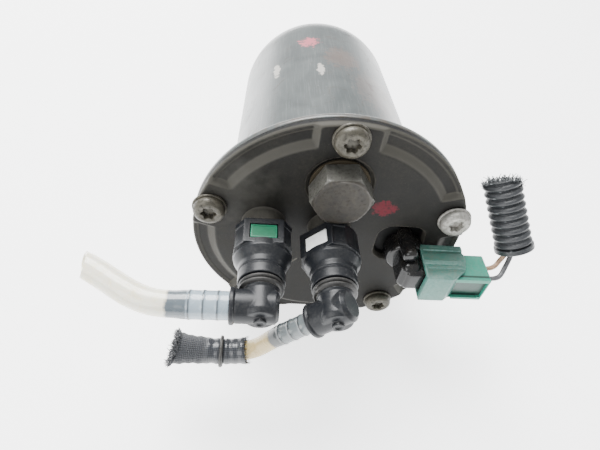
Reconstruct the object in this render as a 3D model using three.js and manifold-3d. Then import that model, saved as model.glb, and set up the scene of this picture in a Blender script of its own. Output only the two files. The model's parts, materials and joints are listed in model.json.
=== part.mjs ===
// Spin-on style diesel fuel filter lying on its side: a drawn steel canister closed by a moulded cover,
// with two quick connectors on short nylon tubes, a screwed hexagon plug and a wired heater socket.
//
// The filter is drawn in its own frame first and tipped at the end, so that it lies on the flat of its
// rim and on the far end of the canister.  In that own frame x runs to the right, z up, and y along the
// canister.  Heights called h are measured the other way, outward from the front of the rim (h = -y).
import * as THREE from 'three';
import { mergeVertices } from 'three/addons/utils/BufferGeometryUtils.js';
import Module from 'manifold-3d';

const wasm = await Module();
wasm.setup();

// ---------------------------------------------------------------- driving dimensions, millimetres
const GAP = 0.3;                  // clearance between touching pieces
const RIM_R = 55;                 // radius of cover and canister flange
const RIM_FLAT = 51.6;            // distance from the axis to the flat at the foot of the rim
const PLATE = 2.6;                // thickness of the cover's rim
const FLANGE = 2.3;               // thickness of the canister's flange
const PLATEAU_H = 2.2;            // height of the cover's raised middle above its rim
const PLATEAU_R = 47.5;           // radius of the raised middle
const ARM_HALF = 11.5;            // half width of the arm that runs out to each screw
const BODY_R1 = 42.8;             // canister radius at the flange
const BODY_R2 = 39.4;             // canister radius where the dome starts
const DOME_START = 107;           // distance from the rim to the dome
const DOME = 38;                  // length of the dome
const WALL = 1.4;                 // canister wall
const SCREW_COUNT = 5;
const SCREW_CIRCLE = 50;          // radius of the screw circle
const HEAD_R = 6;                 // pan head of an M6 screw
const SHANK_R = 2.95;
const HOLE_R = 3.4;
const PLUG = { x: -0.4, z: 29.5, flats: 20, top: 12, shank: 7 };
const LEFT = { x: -27, z: 8, turn: 0, nipple: 4.75, tube: 4.6, bore: 3.6, stem: 2.9, barb: 3.25 };
const RIGHT = { x: -1.2, z: 7.2, turn: 44, nipple: 3.95, tube: 3.6, bore: 2.75, stem: 2.1, barb: 2.4 };
const PORT_H = 8.5;               // height of the cover's bosses round the nipples
const OUTLET_H = 41;              // height of the elbows' outlets
const STEM_END = 30;              // distance from a connector's axis to the end of its barbed stem
const TILT = 6.5;                 // angle of the axis to the surface when the filter lies down, degrees
const SEAT = new THREE.Vector3(-3.8, -48.65, 51.86);   // puts the tipped filter's box on the origin

// ---------------------------------------------------------------- colours
const finish = (color, roughness, metalness = 0) => new THREE.MeshStandardMaterial({ color, roughness, metalness });
const PAINT = finish(0x4a5258, 0.38, 0.2);
const COVER = finish(0x3a3530, 0.75);
const ZINC = finish(0xa39d8c, 0.5, 0.8);
const BRASS = finish(0xa8874c, 0.4, 0.9);
const STEEL = finish(0x8b8d8f, 0.4, 0.9);
const BLACK = finish(0x24262a, 0.5);
const RUBBER = finish(0x191919, 0.85);
const GREEN_BUTTON = finish(0x2fae83, 0.4);
const WHITE_BUTTON = finish(0xf2f2ee, 0.45);
const NYLON = finish(0xe3d9b8, 0.3);
const SHELL_GREEN = finish(0x6aa893, 0.5);
const BODY_GREEN = finish(0x39b28c, 0.45);
const COPPER = finish(0xb5703a, 0.45);
const GREY_WIRE = finish(0x4a474c, 0.55);
const PAPER = finish(0xd8c48f, 0.9);

// ---------------------------------------------------------------- solids
const rad = THREE.MathUtils.degToRad;

// A closed geometry as a solid, with its faces turned outward.
function solid(geometry) {
  const bare = geometry.clone();
  for (const name of Object.keys(bare.attributes)) if (name !== 'position') bare.deleteAttribute(name);
  const merged = mergeVertices(bare, 1e-4);
  const corners = merged.index.array;
  const triangles = [];
  for (let i = 0; i < corners.length; i += 3) {
    const [a, b, c] = [corners[i], corners[i + 1], corners[i + 2]];
    if (a !== b && b !== c && a !== c) triangles.push(a, b, c);
  }
  const places = merged.attributes.position;
  const [p, q, r] = [new THREE.Vector3(), new THREE.Vector3(), new THREE.Vector3()];
  let volume = 0;
  for (let i = 0; i < triangles.length; i += 3) {
    p.fromBufferAttribute(places, triangles[i]);
    q.fromBufferAttribute(places, triangles[i + 1]);
    r.fromBufferAttribute(places, triangles[i + 2]);
    volume += p.dot(q.cross(r));
  }
  if (volume < 0) triangles.reverse();
  const vertProperties = Float32Array.from(places.array);
  return new wasm.Manifold(new wasm.Mesh({ numProp: 3, vertProperties, triVerts: Uint32Array.from(triangles) }));
}

// A lathe solid about the y axis: outline points are [radius, h].
const turned = (outline, segments = 32) =>
  solid(new THREE.LatheGeometry(outline.map(([r, h]) => new THREE.Vector2(r, -h)), segments));

// A disc or ring of the filter's axis direction, from height h1 to h2, centred on (x, z).
function round(radius, h1, h2, x = 0, z = 0, segments = 32) {
  const geometry = new THREE.CylinderGeometry(radius, radius, Math.abs(h2 - h1), segments);
  return solid(geometry.translate(x, -(h1 + h2) / 2, z));
}

function ring(inner, outer, h1, h2, x = 0, z = 0, segments = 32) {
  return turned([[inner, h1], [outer, h1], [outer, h2], [inner, h2], [inner, h1]], segments).translate(x, 0, z);
}

// A block between two corners given as [x, h, z].
function block([x1, h1, z1], [x2, h2, z2]) {
  const geometry = new THREE.BoxGeometry(Math.abs(x2 - x1), Math.abs(h2 - h1), Math.abs(z2 - z1));
  return solid(geometry.translate((x1 + x2) / 2, -(h1 + h2) / 2, (z1 + z2) / 2));
}

// An outline drawn in the x-z plane, pushed from height h1 to h2.
function pushed(points, h1, h2) {
  const shape = new THREE.Shape(points.map(([x, z]) => new THREE.Vector2(x, z)));
  const geometry = new THREE.ExtrudeGeometry(shape, { depth: h2 - h1, bevelEnabled: false });
  return solid(geometry.rotateX(Math.PI / 2).translate(0, -h1, 0));
}

// A round bar lying along x from x1 to x2 at height h, with radii r1 and r2 at its ends.
function bar(x1, x2, h, r1, r2 = r1, segments = 20) {
  const geometry = new THREE.CylinderGeometry(r2, r1, x2 - x1, segments);
  return solid(geometry.rotateZ(-Math.PI / 2).translate((x1 + x2) / 2, -h, 0));
}

// A round section swept along a curve.
function swept(curve, radius, sides, steps) {
  const section = new THREE.Shape();
  for (let i = 0; i < sides; i += 1) {
    const turn = (2 * Math.PI * i) / sides;
    const [x, y] = [radius * Math.cos(turn), radius * Math.sin(turn)];
    if (i === 0) section.moveTo(x, y);
    else section.lineTo(x, y);
  }
  return solid(new THREE.ExtrudeGeometry(section, { steps, extrudePath: curve, bevelEnabled: false }));
}

const own = new THREE.Group();    // everything, in the filter's own frame

function piece(name, body, material, parent = own) {
  const mesh = body.getMesh();
  const geometry = new THREE.BufferGeometry();
  geometry.setAttribute('position', new THREE.BufferAttribute(Float32Array.from(mesh.vertProperties), 3));
  geometry.setIndex(new THREE.BufferAttribute(Uint32Array.from(mesh.triVerts), 1));
  const node = new THREE.Mesh(geometry, material);
  node.name = name;
  parent.add(node);
  return node;
}

// Where the screws sit: one straight up, the others a fifth of a turn apart.
const screwPlaces = Array.from({ length: SCREW_COUNT }, (_, i) => {
  const turn = Math.PI / 2 + (2 * Math.PI * i) / SCREW_COUNT;
  return [SCREW_CIRCLE * Math.cos(turn), SCREW_CIRCLE * Math.sin(turn)];
});

// The part of the rim below its flat, which is cut away.
const belowFlat = block([-60, 20, -RIM_FLAT], [60, -12, -70]);

// ---------------------------------------------------------------- canister
// A drawn steel cup with a slight taper, a domed end and a flange at its mouth.
function canister() {
  const mouth = -PLATE - GAP;
  const under = mouth - FLANGE;
  const dome = (radius, length, count) => Array.from({ length: count }, (_, i) => {
    const turn = (Math.PI / 2) * ((i + 1) / count);
    return [i + 1 === count ? 0 : radius * Math.cos(turn), -DOME_START - length * Math.sin(turn)];
  });
  const outside = [[RIM_R, mouth], [RIM_R, under], [BODY_R1 + 1.6, under], [BODY_R1, under - 1.8],
    [BODY_R2, -DOME_START], ...dome(BODY_R2, DOME, 6)];
  const inside = [[BODY_R1 - WALL, mouth], [BODY_R2 - WALL, -DOME_START], ...dome(BODY_R2 - WALL, DOME - WALL, 5)];
  let cup = turned([...outside, ...inside.reverse(), [RIM_R, mouth]], 36).subtract(belowFlat);
  for (const [x, z] of screwPlaces) cup = cup.subtract(round(HOLE_R, mouth + 1, under - 1, x, z, 12));
  return cup;
}

// ---------------------------------------------------------------- cover
// The star-shaped raised middle: a disc with an arm out to every screw.
function plateau() {
  let star = round(PLATEAU_R, 0.5 - PLATE, PLATEAU_H, 0, 0, 40);
  for (const [x, z] of screwPlaces) {
    const turn = Math.atan2(z, x);
    const arm = block([0, 0.5 - PLATE, -ARM_HALF], [RIM_R + 2, PLATEAU_H, ARM_HALF]);
    star = star.add(arm.rotate([0, (-turn * 180) / Math.PI, 0]));
  }
  return star.intersect(round(RIM_R, -PLATE, 10, 0, 0, 40));
}

function cover() {
  let body = round(RIM_R, -PLATE, 0, 0, 0, 40).add(plateau());
  body = body.add(ring(34.8, 38.6, -PLATE + 0.5, -9, 0, 0, 40));
  for (const port of [LEFT, RIGHT]) body = body.add(round(8.4, 0, PORT_H, port.x, port.z, 24));
  body = body.add(round(12.2, -9, 0, PLUG.x, PLUG.z, 24).intersect(round(38, -20, 5, 0, 0, 40)));
  body = body.subtract(belowFlat);
  for (const [x, z] of screwPlaces) body = body.subtract(round(HOLE_R, -PLATE - 1, PLATEAU_H + 1, x, z, 12));
  for (const port of [LEFT, RIGHT]) {
    body = body.subtract(round(port.nipple + GAP, -PLATE - 1, PORT_H + 1, port.x, port.z, 20));
    body = body.subtract(round(port.nipple + 2 + GAP, -PLATE - 1, -1, port.x, port.z, 20));
  }
  body = body.subtract(round(12.2, 0.8, PLATEAU_H + 1, PLUG.x, PLUG.z, 28));
  body = body.subtract(round(PLUG.shank + GAP, -20, 5, PLUG.x, PLUG.z, 24));
  body = body.subtract(block([20.5, -1.2, -8.2], [38.6, PLATEAU_H + 1, 10]));
  body = body.subtract(block([27.2, -PLATE - 1, -13.2], [37.3, PLATEAU_H + 1, 4.3]));
  return body;
}

// ---------------------------------------------------------------- fasteners
// A six-lobed driver recess, as a prism.
function lobes(radius, h1, h2) {
  const points = Array.from({ length: 12 }, (_, i) => {
    const reach = i % 2 === 0 ? radius : radius * 0.74;
    return [reach * Math.cos((Math.PI * i) / 6), reach * Math.sin((Math.PI * i) / 6)];
  });
  return pushed(points, h1, h2);
}

function screw(seat) {
  const top = seat + 3;
  const outline = [[0, top], [3.6, top], [5.2, top - 0.6], [HEAD_R, top - 1.5], [HEAD_R, seat], [SHANK_R, seat],
    [SHANK_R, -6.4], [SHANK_R - 0.6, -7], [0, -7]];
  return turned(outline, 14).subtract(lobes(2.9, top - 2.1, top + 1));
}

function flangeNut() {
  const back = -PLATE - FLANGE - 2 * GAP;
  return ring(3.35, 4.2, back, back - 1.6, 0, 0, 12);
}

function topPlug() {
  const seat = 2.7;
  const corner = PLUG.flats / Math.sqrt(3);
  const hexagon = Array.from({ length: 6 }, (_, i) => {
    const turn = rad(5 + 60 * i);
    return [corner * Math.cos(turn), corner * Math.sin(turn)];
  });
  const chamfer = turned([[0, PLUG.top], [PLUG.flats / 2 + 0.4, PLUG.top], [corner + 0.2, PLUG.top - 1.6],
    [corner + 0.2, seat - 1], [0, seat - 1]], 24);
  const shank = turned([[0, seat + 1], [PLUG.shank, seat + 1], [PLUG.shank, -9], [PLUG.shank - 1.2, -10.2],
    [0, -10.2]], 20);
  return pushed(hexagon, seat, PLUG.top).intersect(chamfer).add(shank);
}

// ---------------------------------------------------------------- quick connectors
// Both are the same connector.  Each is drawn about its own nipple and turned about it, outlet to the left.
function nipple(port) {
  const r = port.nipple;
  return turned([[r - 1.5, -5.5], [r + 1.7, -5.5], [r + 1.7, -2], [r, -2], [r, 11], [r + 0.25, 12],
    [r, 13], [r, 22], [r - 0.9, 23.4], [r - 1.5, 23.4], [r - 1.5, -5.5]], 16);
}

function connectorBody(port) {
  const half = 6.6;
  const roundFoot = Array.from({ length: 7 }, (_, i) => {
    const turn = -Math.PI * (i / 6);
    return [10.6 * Math.cos(turn), 10.6 * Math.sin(turn)];
  });
  const outline = [[-half, 9.6], [-10, 5.4], ...roundFoot.reverse(), [10, 5.4], [half, 9.6]];
  let body = pushed(outline, 9.2, 21.4);
  body = body.add(turned([[0, 20], [10.6, 20], [10.6, 23.4], [8.6, 25.2], [8.4, 28.6], [0, 28.6]], 24));
  body = body.subtract(round(port.nipple + 0.55, 8, 23.8, 0, 0, 16));
  body = body.subtract(round(6.6, 23.7, 30, 0, 0, 16));
  body = body.subtract(round(port.nipple + 2.8, 19.6, 22.6, 0, 0, 16));
  body = body.subtract(block([-6.9, 13.8, -6.4], [6.9, 17.4, 8.3]));
  return body.subtract(block([-5.05, 12.2, 0], [5.05, 19, 12]));
}

function releaseButton() {
  let button = block([-4.75, 12.5, 7.4], [4.75, 18.7, 9.4]);
  button = button.add(block([-6.5, 14.2, 7], [6.5, 17, 8]));
  for (const side of [-1, 1]) button = button.add(block([side * 5.5, 14.2, -4], [side * 6.5, 17, 7.5]));
  return button;
}

function innerSeal(port) {
  const inner = port.nipple + GAP;
  const middle = inner + 1.05;
  const section = Array.from({ length: 7 }, (_, i) => {
    const turn = (2 * Math.PI * (i % 6)) / 6;
    return [middle + 1.05 * Math.cos(turn), 21.1 + 1.05 * Math.sin(turn)];
  });
  return turned(section, 16);
}

function bellows() {
  const outline = [[6.6, 28.9], [7.2, 28.9]];
  for (const h of [30, 32, 34]) outline.push([7.6, h], [6.95, h + 1]);
  outline.push([6.6, 35.2], [6.6, 28.9]);
  return turned(outline, 18);
}

function elbow(port) {
  let body = round(6.2, 24, 35.8, 0, 0, 16).add(round(6, 35.5, OUTLET_H, 0, 0, 16));
  body = body.add(bar(-8.6, 5.4, OUTLET_H, 5.6, 5.6, 16));
  body = body.add(bar(-10.1, -8.5, OUTLET_H, 6.1, 6.1, 16));
  body = body.add(round(2.05, OUTLET_H, OUTLET_H + 6.3, 0, 0, 10));
  body = body.add(bar(-STEM_END, -10, OUTLET_H, port.stem, port.stem, 12));
  for (const start of [-13.6, -18.2, -22.8]) {
    body = body.add(bar(start - 2.4, start, OUTLET_H, port.stem, port.barb, 12));
  }
  body = body.subtract(bar(-STEM_END - 1, 0.8, OUTLET_H, port.stem - 1.1, port.stem - 1.1, 10));
  return body.subtract(round(port.stem - 1.1, 23, OUTLET_H, 0, 0, 10));
}

// A connector turned about its nipple, with everything that hangs on it.
function placed(port) {
  const group = new THREE.Group();
  group.position.set(port.x, 0, port.z);
  group.rotation.y = -rad(port.turn);
  own.add(group);
  return group;
}

// ---------------------------------------------------------------- tubes
// Route points are [x, h, z] about the connector's nipple, before it is turned.
const route = (points) => new THREE.CatmullRomCurve3(points.map(([x, h, z]) => new THREE.Vector3(x, -h, z)));

const LEFT_ROUTE = [[-10.4, 41, 0], [-17, 41, 0], [-24, 41, 0], [-30.5, 41, 0], [-36, 40.3, 0.1], [-41, 38.6, 0.4],
  [-45.8, 36.1, 0.8], [-50.5, 33.2, 1.2], [-54.8, 30.6, 1.6], [-58.8, 28.5, 2], [-62.6, 27, 2.3]];
const RIGHT_ROUTE = [[-10.5, 41, 0], [-17, 41, 0], [-24, 41, 0], [-30, 41, -0.4], [-36, 41, -1.1], [-42, 41, -0.1],
  [-47.6, 41, 3.9], [-52.4, 41, 9], [-56.8, 41, 14.4], [-61, 41, 19.8]];

function tube(port, points) {
  const line = route(points);
  return swept(line, port.tube, 10, 10).subtract(swept(lengthened(points), port.bore, 10, 12));
}

// The same route run a little past both ends, for boring the tube right through.
function lengthened(points) {
  const start = points[0].map((value, i) => value * 1.3 - points[1][i] * 0.3);
  const last = points[points.length - 1];
  const before = points[points.length - 2];
  const end = last.map((value, i) => value * 1.3 - before[i] * 0.3);
  return route([start, ...points, end]);
}

// ---------------------------------------------------------------- heater socket and its plug
const SOCKET = { x1: 27.6, x2: 45.6, h1: 5.9, h2: 18.6, z1: -10.9, z2: -0.1 };
const SHELL = { x1: 37, x2: 53.5, h1: 4.2, h2: 21.8, z1: -12.6, z2: 1.9 };
const LATCH = { x1: 38.6, x2: 52, h1: 9.6, h2: 15.4, z1: 0.75, z2: 2.3 };

// A right-hand end that leans: everything right of the line from xBack at h = 0 to xFront at h = 24.
function beyond(xBack, xFront) {
  const points = [[xBack, 0], [90, 0], [90, 24], [xFront, 24]];
  const shape = new THREE.Shape(points.map(([x, h]) => new THREE.Vector2(x, -h)));
  const geometry = new THREE.ExtrudeGeometry(shape, { depth: 60, bevelEnabled: false });
  return solid(geometry.translate(0, 0, -40));
}

function heaterSocket() {
  const { x1, x2, h1, h2, z1, z2 } = SOCKET;
  let body = block([x1 + 4, h1, z1], [x2, h2, z2]).add(block([x1, -0.9, z1 - 1.6], [x1 + 9.2, h2, z2 + 3.4]));
  body = body.subtract(block([x1 - 1, 14.5, z2 + 1], [x1 + 10, 30, z2 + 10]));
  body = body.add(round(9, -7.5, -PLATE - GAP, 31.5, -4, 24).intersect(block([22, 0, -9], [32.8, -20, 3])));
  body = body.add(block([x1 + 0.6, -4, -9], [x1 + 6, 0, 2]));
  return body.subtract(block([x1 + 9.6, h1 + 1.3, z1 + 1.3], [x2 + 1, h2 - 1.3, z2 - 1.3]));
}

function plugShell() {
  const { x1, x2, h1, h2, z1, z2 } = SHELL;
  let shell = block([x1, h1, z1], [x2, h2, z2]);
  const inside = block([x1 - 1, SOCKET.h1 - GAP, SOCKET.z1 - GAP], [x2 + 1, SOCKET.h2 + GAP, SOCKET.z2 + GAP]);
  shell = shell.subtract(inside);
  shell = shell.subtract(block([LATCH.x1 - GAP, LATCH.h1 - GAP, z2 - 4], [x2 + 1, LATCH.h2 + GAP, z2 + 1]));
  return shell.subtract(beyond(55, 46.8));
}

function plugBody() {
  let body = block([44, 7.2, -13.4], [64.6, 20, -0.2]).intersect(beyond(55.5, 47.4));
  body = body.add(block([46.6, 7.2, -10.3], [56, 18, -0.8]));
  body = body.subtract(block([40, 18.6, -11.8], [70, 21, -1.9]));
  for (const h of [10.4, 15.6]) {
    body = body.subtract(bar(61, 66, h, 2.3, 2.3, 16).translate(0, 0, -4.6));
    body = body.subtract(bar(45, 62, h, 1.2, 1.2, 12).translate(0, 0, -4.6));
  }
  return body;
}

function plugLatch() {
  const { x1, x2, h1, h2, z1, z2 } = LATCH;
  return block([x1, h1, z1], [x2, h2, z2 - 0.5]).add(block([x2 - 3.4, h1, z1], [x2, h2, z2 + 0.5]))
    .subtract(beyond(54.6, 47.6));
}

// The two wires leave the plug, bend up and run through the conduit to its cut end.
const CONDUIT = { foot: [76.6, 6, 4], lean: -36, rise: 52, length: 33.4, cut: 30, outer: 7.4, inner: 5.6 };
const conduitAxis = new THREE.Vector3(Math.cos(rad(CONDUIT.rise)) * Math.sin(rad(CONDUIT.lean)),
  Math.cos(rad(CONDUIT.rise)) * Math.cos(rad(CONDUIT.lean)), Math.sin(rad(CONDUIT.rise)));

function wireRoute(h, aside) {
  const foot = new THREE.Vector3(CONDUIT.foot[0], -CONDUIT.foot[1], CONDUIT.foot[2]);
  const side = new THREE.Vector3(aside, 0, 0);
  const along = (distance) => foot.clone().addScaledVector(conduitAxis, distance).add(side);
  const points = [new THREE.Vector3(59, -h, -4.6), new THREE.Vector3(65, -h, -4.6),
    new THREE.Vector3(68.6 + h * 0.1, -h + 0.8, -4.3), new THREE.Vector3(73.4 + aside * 0.4, -h * 0.76, -2.2),
    along(-0.5), along(8), along(18), along(27)];
  return new THREE.CatmullRomCurve3(points);
}

function conduit() {
  const { outer, inner, length } = CONDUIT;
  const outline = [[inner, 0], [outer + 0.2, 0], [outer + 0.2, 1.2]];
  for (let rib = 0; rib < 10; rib += 1) {
    const start = 2 + rib * 3.1;
    outline.push([outer - 1, start], [outer, start + 1.5]);
  }
  outline.push([outer - 1, length], [inner, length], [inner, 0]);
  const geometry = new THREE.LatheGeometry(outline.map(([r, y]) => new THREE.Vector2(r, y)), 12);
  const slant = block([-30, 0, -30], [30, -40, 30]).rotate([0, 0, -24]).translate(0, CONDUIT.cut, 0);
  return solid(geometry).subtract(slant);
}

// ---------------------------------------------------------------- filter element
const ELEMENT = { top: -20, bottom: -104, outer: 33.5, inner: 13 };

function pleats() {
  const count = 20;
  const outer = [];
  const inner = [];
  for (let i = 0; i < count; i += 1) {
    const turn = (2 * Math.PI * i) / count;
    const half = Math.PI / count;
    outer.push([ELEMENT.outer * Math.cos(turn), ELEMENT.outer * Math.sin(turn)]);
    outer.push([(ELEMENT.inner + 5) * Math.cos(turn + half), (ELEMENT.inner + 5) * Math.sin(turn + half)]);
    inner.push([(ELEMENT.outer - 4) * Math.cos(turn), (ELEMENT.outer - 4) * Math.sin(turn)]);
    inner.push([ELEMENT.inner * Math.cos(turn + half), ELEMENT.inner * Math.sin(turn + half)]);
  }
  return pushed(outer, ELEMENT.bottom, ELEMENT.top).subtract(pushed(inner, ELEMENT.bottom - 1, ELEMENT.top + 1));
}

function coreTube() {
  let core = ring(11.2, 12.4, ELEMENT.bottom + 0.5, ELEMENT.top - 0.5, 0, 0, 16);
  for (let i = 0; i < 3; i += 1) {
    const h = ELEMENT.top - 18 - 24 * i;
    core = core.subtract(block([-20, h - 3, -3], [20, h + 3, 3]));
  }
  return core;
}

const cap = (h1, h2, hole) => ring(hole, 35, h1, h2, 0, 0, 28);

function elementSpring() {
  const points = Array.from({ length: 46 }, (_, i) => {
    const turn = (2 * Math.PI * i) / 15;
    const radius = 17 - 3 * (i / 45);
    return [radius * Math.cos(turn), ELEMENT.bottom - 6.2 - 17 * (i / 45), radius * Math.sin(turn)];
  });
  return swept(route(points), 1, 6, 32);
}

// ---------------------------------------------------------------- assembly
piece('canister', canister(), PAINT);
piece('cover', cover(), COVER);
piece('cover_seal', turned(Array.from({ length: 7 }, (_, i) => {
  const turn = (2 * Math.PI * (i % 6)) / 6;
  return [39.95 + 1.05 * Math.cos(turn), -6 + 1.05 * Math.sin(turn)];
}), 28), RUBBER);

screwPlaces.forEach(([x, z], i) => {
  piece(`screw_${i + 1}`, screw(PLATEAU_H + 1.5).translate(x, 0, z), ZINC);
  piece(`screw_washer_${i + 1}`, ring(3.25, 6.5, PLATEAU_H + 0.25, PLATEAU_H + 1.25, x, z, 14), ZINC);
  piece(`flange_nut_${i + 1}`, flangeNut().translate(x, 0, z), STEEL);
});

piece('top_plug', topPlug().translate(PLUG.x, 0, PLUG.z), ZINC);
piece('top_plug_seal', ring(PLUG.shank + GAP, 11.2, 1.1, 2.4, PLUG.x, PLUG.z, 20), BRASS);

for (const [side, port, points, colour] of [['left', LEFT, LEFT_ROUTE, GREEN_BUTTON],
  ['right', RIGHT, RIGHT_ROUTE, WHITE_BUTTON]]) {
  const group = placed(port);
  piece(`${side}_nipple`, nipple(port), STEEL, group);
  piece(`${side}_connector_body`, connectorBody(port), BLACK, group);
  piece(`${side}_release_button`, releaseButton(), colour, group);
  piece(`${side}_connector_seal`, innerSeal(port), RUBBER, group);
  piece(`${side}_bellows`, bellows(), RUBBER, group);
  piece(`${side}_elbow`, elbow(port), BLACK, group);
  piece(`${side}_tube`, tube(port, points), NYLON, group);
  if (side === 'right') {
    const sleeveRoute = RIGHT_ROUTE.slice(5);
    const sleeve = swept(route(sleeveRoute), 5, 10, 5).subtract(swept(lengthened(sleeveRoute), 4.2, 10, 7));
    piece('tube_sleeve', sleeve, BLACK, group);
    const tie = new THREE.TorusGeometry(6.1, 0.7, 6, 16);
    const seat = new THREE.Vector3(-49.6, -41, 5.9);
    const heading = new THREE.Vector3(-4.9, 0, 4.9).normalize();
    const turn = new THREE.Quaternion().setFromUnitVectors(new THREE.Vector3(0, 0, 1), heading);
    const matrix = new THREE.Matrix4().compose(seat, turn, new THREE.Vector3(1, 1, 1));
    piece('sleeve_tie', solid(tie.applyMatrix4(matrix)), BLACK, group);
  }
}

piece('heater_socket', heaterSocket(), BLACK);
for (const [name, h] of [['upper', 10.4], ['lower', 15.6]]) {
  piece(`${name}_terminal`, block([37.5, h - 0.4, -6], [46, h + 0.4, -3.2]), BRASS);
}
piece('plug_shell', plugShell(), SHELL_GREEN);
piece('plug_body', plugBody(), BODY_GREEN);
piece('plug_latch', plugLatch(), SHELL_GREEN);
for (const [name, h, aside, colour] of [['copper', 10.4, -3.6, COPPER], ['grey', 15.6, -1.2, GREY_WIRE]]) {
  const seal = bar(61.3, 64.3, h, 2, 2, 14).subtract(bar(60, 66, h, 1.2, 1.2, 12));
  piece(`${name}_wire_seal`, seal.translate(0, 0, -4.6), RUBBER);
  piece(`${name}_wire`, swept(wireRoute(h, aside), 0.85, 8, 16), colour);
}
const conduitNode = piece('wire_conduit', conduit(), BLACK);
conduitNode.position.set(CONDUIT.foot[0], -CONDUIT.foot[1], CONDUIT.foot[2]);
conduitNode.quaternion.setFromUnitVectors(new THREE.Vector3(0, 1, 0), conduitAxis);

piece('filter_element', pleats(), PAPER);
piece('core_tube', coreTube(), ZINC);
piece('upper_end_cap', cap(ELEMENT.top + GAP, ELEMENT.top + 2.3, 8), ZINC);
piece('lower_end_cap', cap(ELEMENT.bottom - 2.3, ELEMENT.bottom - GAP, 4), ZINC);
piece('element_seal', ring(8.4, 11.5, ELEMENT.top + 2.6, ELEMENT.top + 6, 0, 0, 20), RUBBER);
piece('element_spring', elementSpring(), STEEL);

// ---------------------------------------------------------------- the filter lying down
const filter = new THREE.Group();
own.rotation.x = -rad(TILT);
filter.add(own);
filter.position.copy(SEAT);

export default filter;
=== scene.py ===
# %% [markdown]
# # A diesel fuel filter lying on a table
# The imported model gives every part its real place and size, and says what moves. This notebook dresses
# it: fine meshes where the eye looks, worn materials, soft light, and a camera above the moulded cover.

# %% Load the fixed frame
import json
import math
import random

import bmesh
import bpy
from mathutils import Matrix, Vector, noise


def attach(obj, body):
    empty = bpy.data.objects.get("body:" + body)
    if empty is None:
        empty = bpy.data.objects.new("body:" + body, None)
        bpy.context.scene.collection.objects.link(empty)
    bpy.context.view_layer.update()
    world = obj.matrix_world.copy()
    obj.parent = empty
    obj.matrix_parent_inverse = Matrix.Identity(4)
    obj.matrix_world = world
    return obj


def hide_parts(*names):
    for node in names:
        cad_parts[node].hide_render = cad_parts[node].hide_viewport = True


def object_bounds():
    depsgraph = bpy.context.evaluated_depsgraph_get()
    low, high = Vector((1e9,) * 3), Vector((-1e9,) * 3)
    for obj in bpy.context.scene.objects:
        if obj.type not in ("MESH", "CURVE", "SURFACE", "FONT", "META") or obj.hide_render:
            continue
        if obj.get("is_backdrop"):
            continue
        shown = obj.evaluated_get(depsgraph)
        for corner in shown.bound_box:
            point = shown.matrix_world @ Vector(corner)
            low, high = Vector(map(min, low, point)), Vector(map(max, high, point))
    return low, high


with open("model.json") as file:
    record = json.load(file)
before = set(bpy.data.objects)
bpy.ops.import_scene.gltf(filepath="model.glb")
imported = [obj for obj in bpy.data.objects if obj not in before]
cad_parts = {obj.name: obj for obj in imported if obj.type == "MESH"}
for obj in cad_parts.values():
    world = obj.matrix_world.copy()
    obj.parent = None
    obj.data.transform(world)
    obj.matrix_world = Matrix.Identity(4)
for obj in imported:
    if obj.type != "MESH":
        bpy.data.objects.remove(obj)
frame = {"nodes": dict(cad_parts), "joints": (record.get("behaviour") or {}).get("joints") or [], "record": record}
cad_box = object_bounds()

print("CAD box:", [[round(v, 4) for v in corner] for corner in cad_box])

# %% [markdown]
# ## The filter's own frame
# The filter is round, so it is easiest to draw standing in its own frame, in millimetres: x to the right,
# z up the cover, and h outward from the rim. The left connector swivels about its nipple, which is
# parallel to the canister's axis, so its joint gives the tilt of that axis on the table. The nipple's
# place on the cover is known, so the joint also gives the centre of the rim.

# %% Own frame, from the left swivel joint
MM = 0.001
TAU = 2 * math.pi
joints = {joint["name"]: joint for joint in frame["joints"]}
swivel = joints["left_swivel"]
LEFT_NIPPLE = Vector((-27, 0, 8))
RIGHT_NIPPLE = Vector((-1.2, 0, 7.2))
RIGHT_TURN = math.radians(-44)
tilt = math.atan2(-swivel["axis"][2], swivel["axis"][1])
lie_down = Matrix.Rotation(-tilt, 4, "X")
seat = Vector(swivel["pos_m"]) - lie_down @ (LEFT_NIPPLE * MM)
OWN = Matrix.Translation(seat) @ lie_down @ Matrix.Scale(MM, 4)
LEFT = OWN @ Matrix.Translation(LEFT_NIPPLE)
RIGHT = OWN @ Matrix.Translation(RIGHT_NIPPLE) @ Matrix.Rotation(RIGHT_TURN, 4, "Y")
print("tilt of the axis:", round(math.degrees(tilt), 2), "degrees")
print("origin of the rim:", [round(v, 4) for v in seat])

# %% [markdown]
# ## Camera
# The camera looks down on the cover from the front, a little from the left, with a slight roll, through a
# wide lens held close. It comes first, because what it sees decides how fine each piece has to be.

# %% Camera
AZIMUTH, ELEVATION, ROLL = math.radians(8.93), math.radians(52.47), math.radians(10.04)
camera = bpy.data.objects.new("camera", bpy.data.cameras.new("camera"))
bpy.context.scene.collection.objects.link(camera)
look = Matrix.Rotation(-AZIMUTH, 4, "Z") @ Matrix.Rotation(math.pi / 2 - ELEVATION, 4, "X")
eye = seat + Vector((-29.5, -108.22, 148.67)) * MM
camera.matrix_world = Matrix.Translation(eye) @ look @ Matrix.Rotation(ROLL, 4, "Z")
camera.data.lens = 27
camera.data.sensor_width = 36
camera.data.clip_start = 0.01
bpy.context.scene.camera = camera
print("camera stands", round((eye - seat).length * 1000), "mm from the rim")

# %% [markdown]
# ## Mesh helpers
# Nearly everything on this filter was turned, drawn or moulded. A turned piece is an outline spun about
# the axis, with each corner eased by a small curve, because real edges are never knife sharp and it is
# the eased edge that catches the light.


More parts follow.
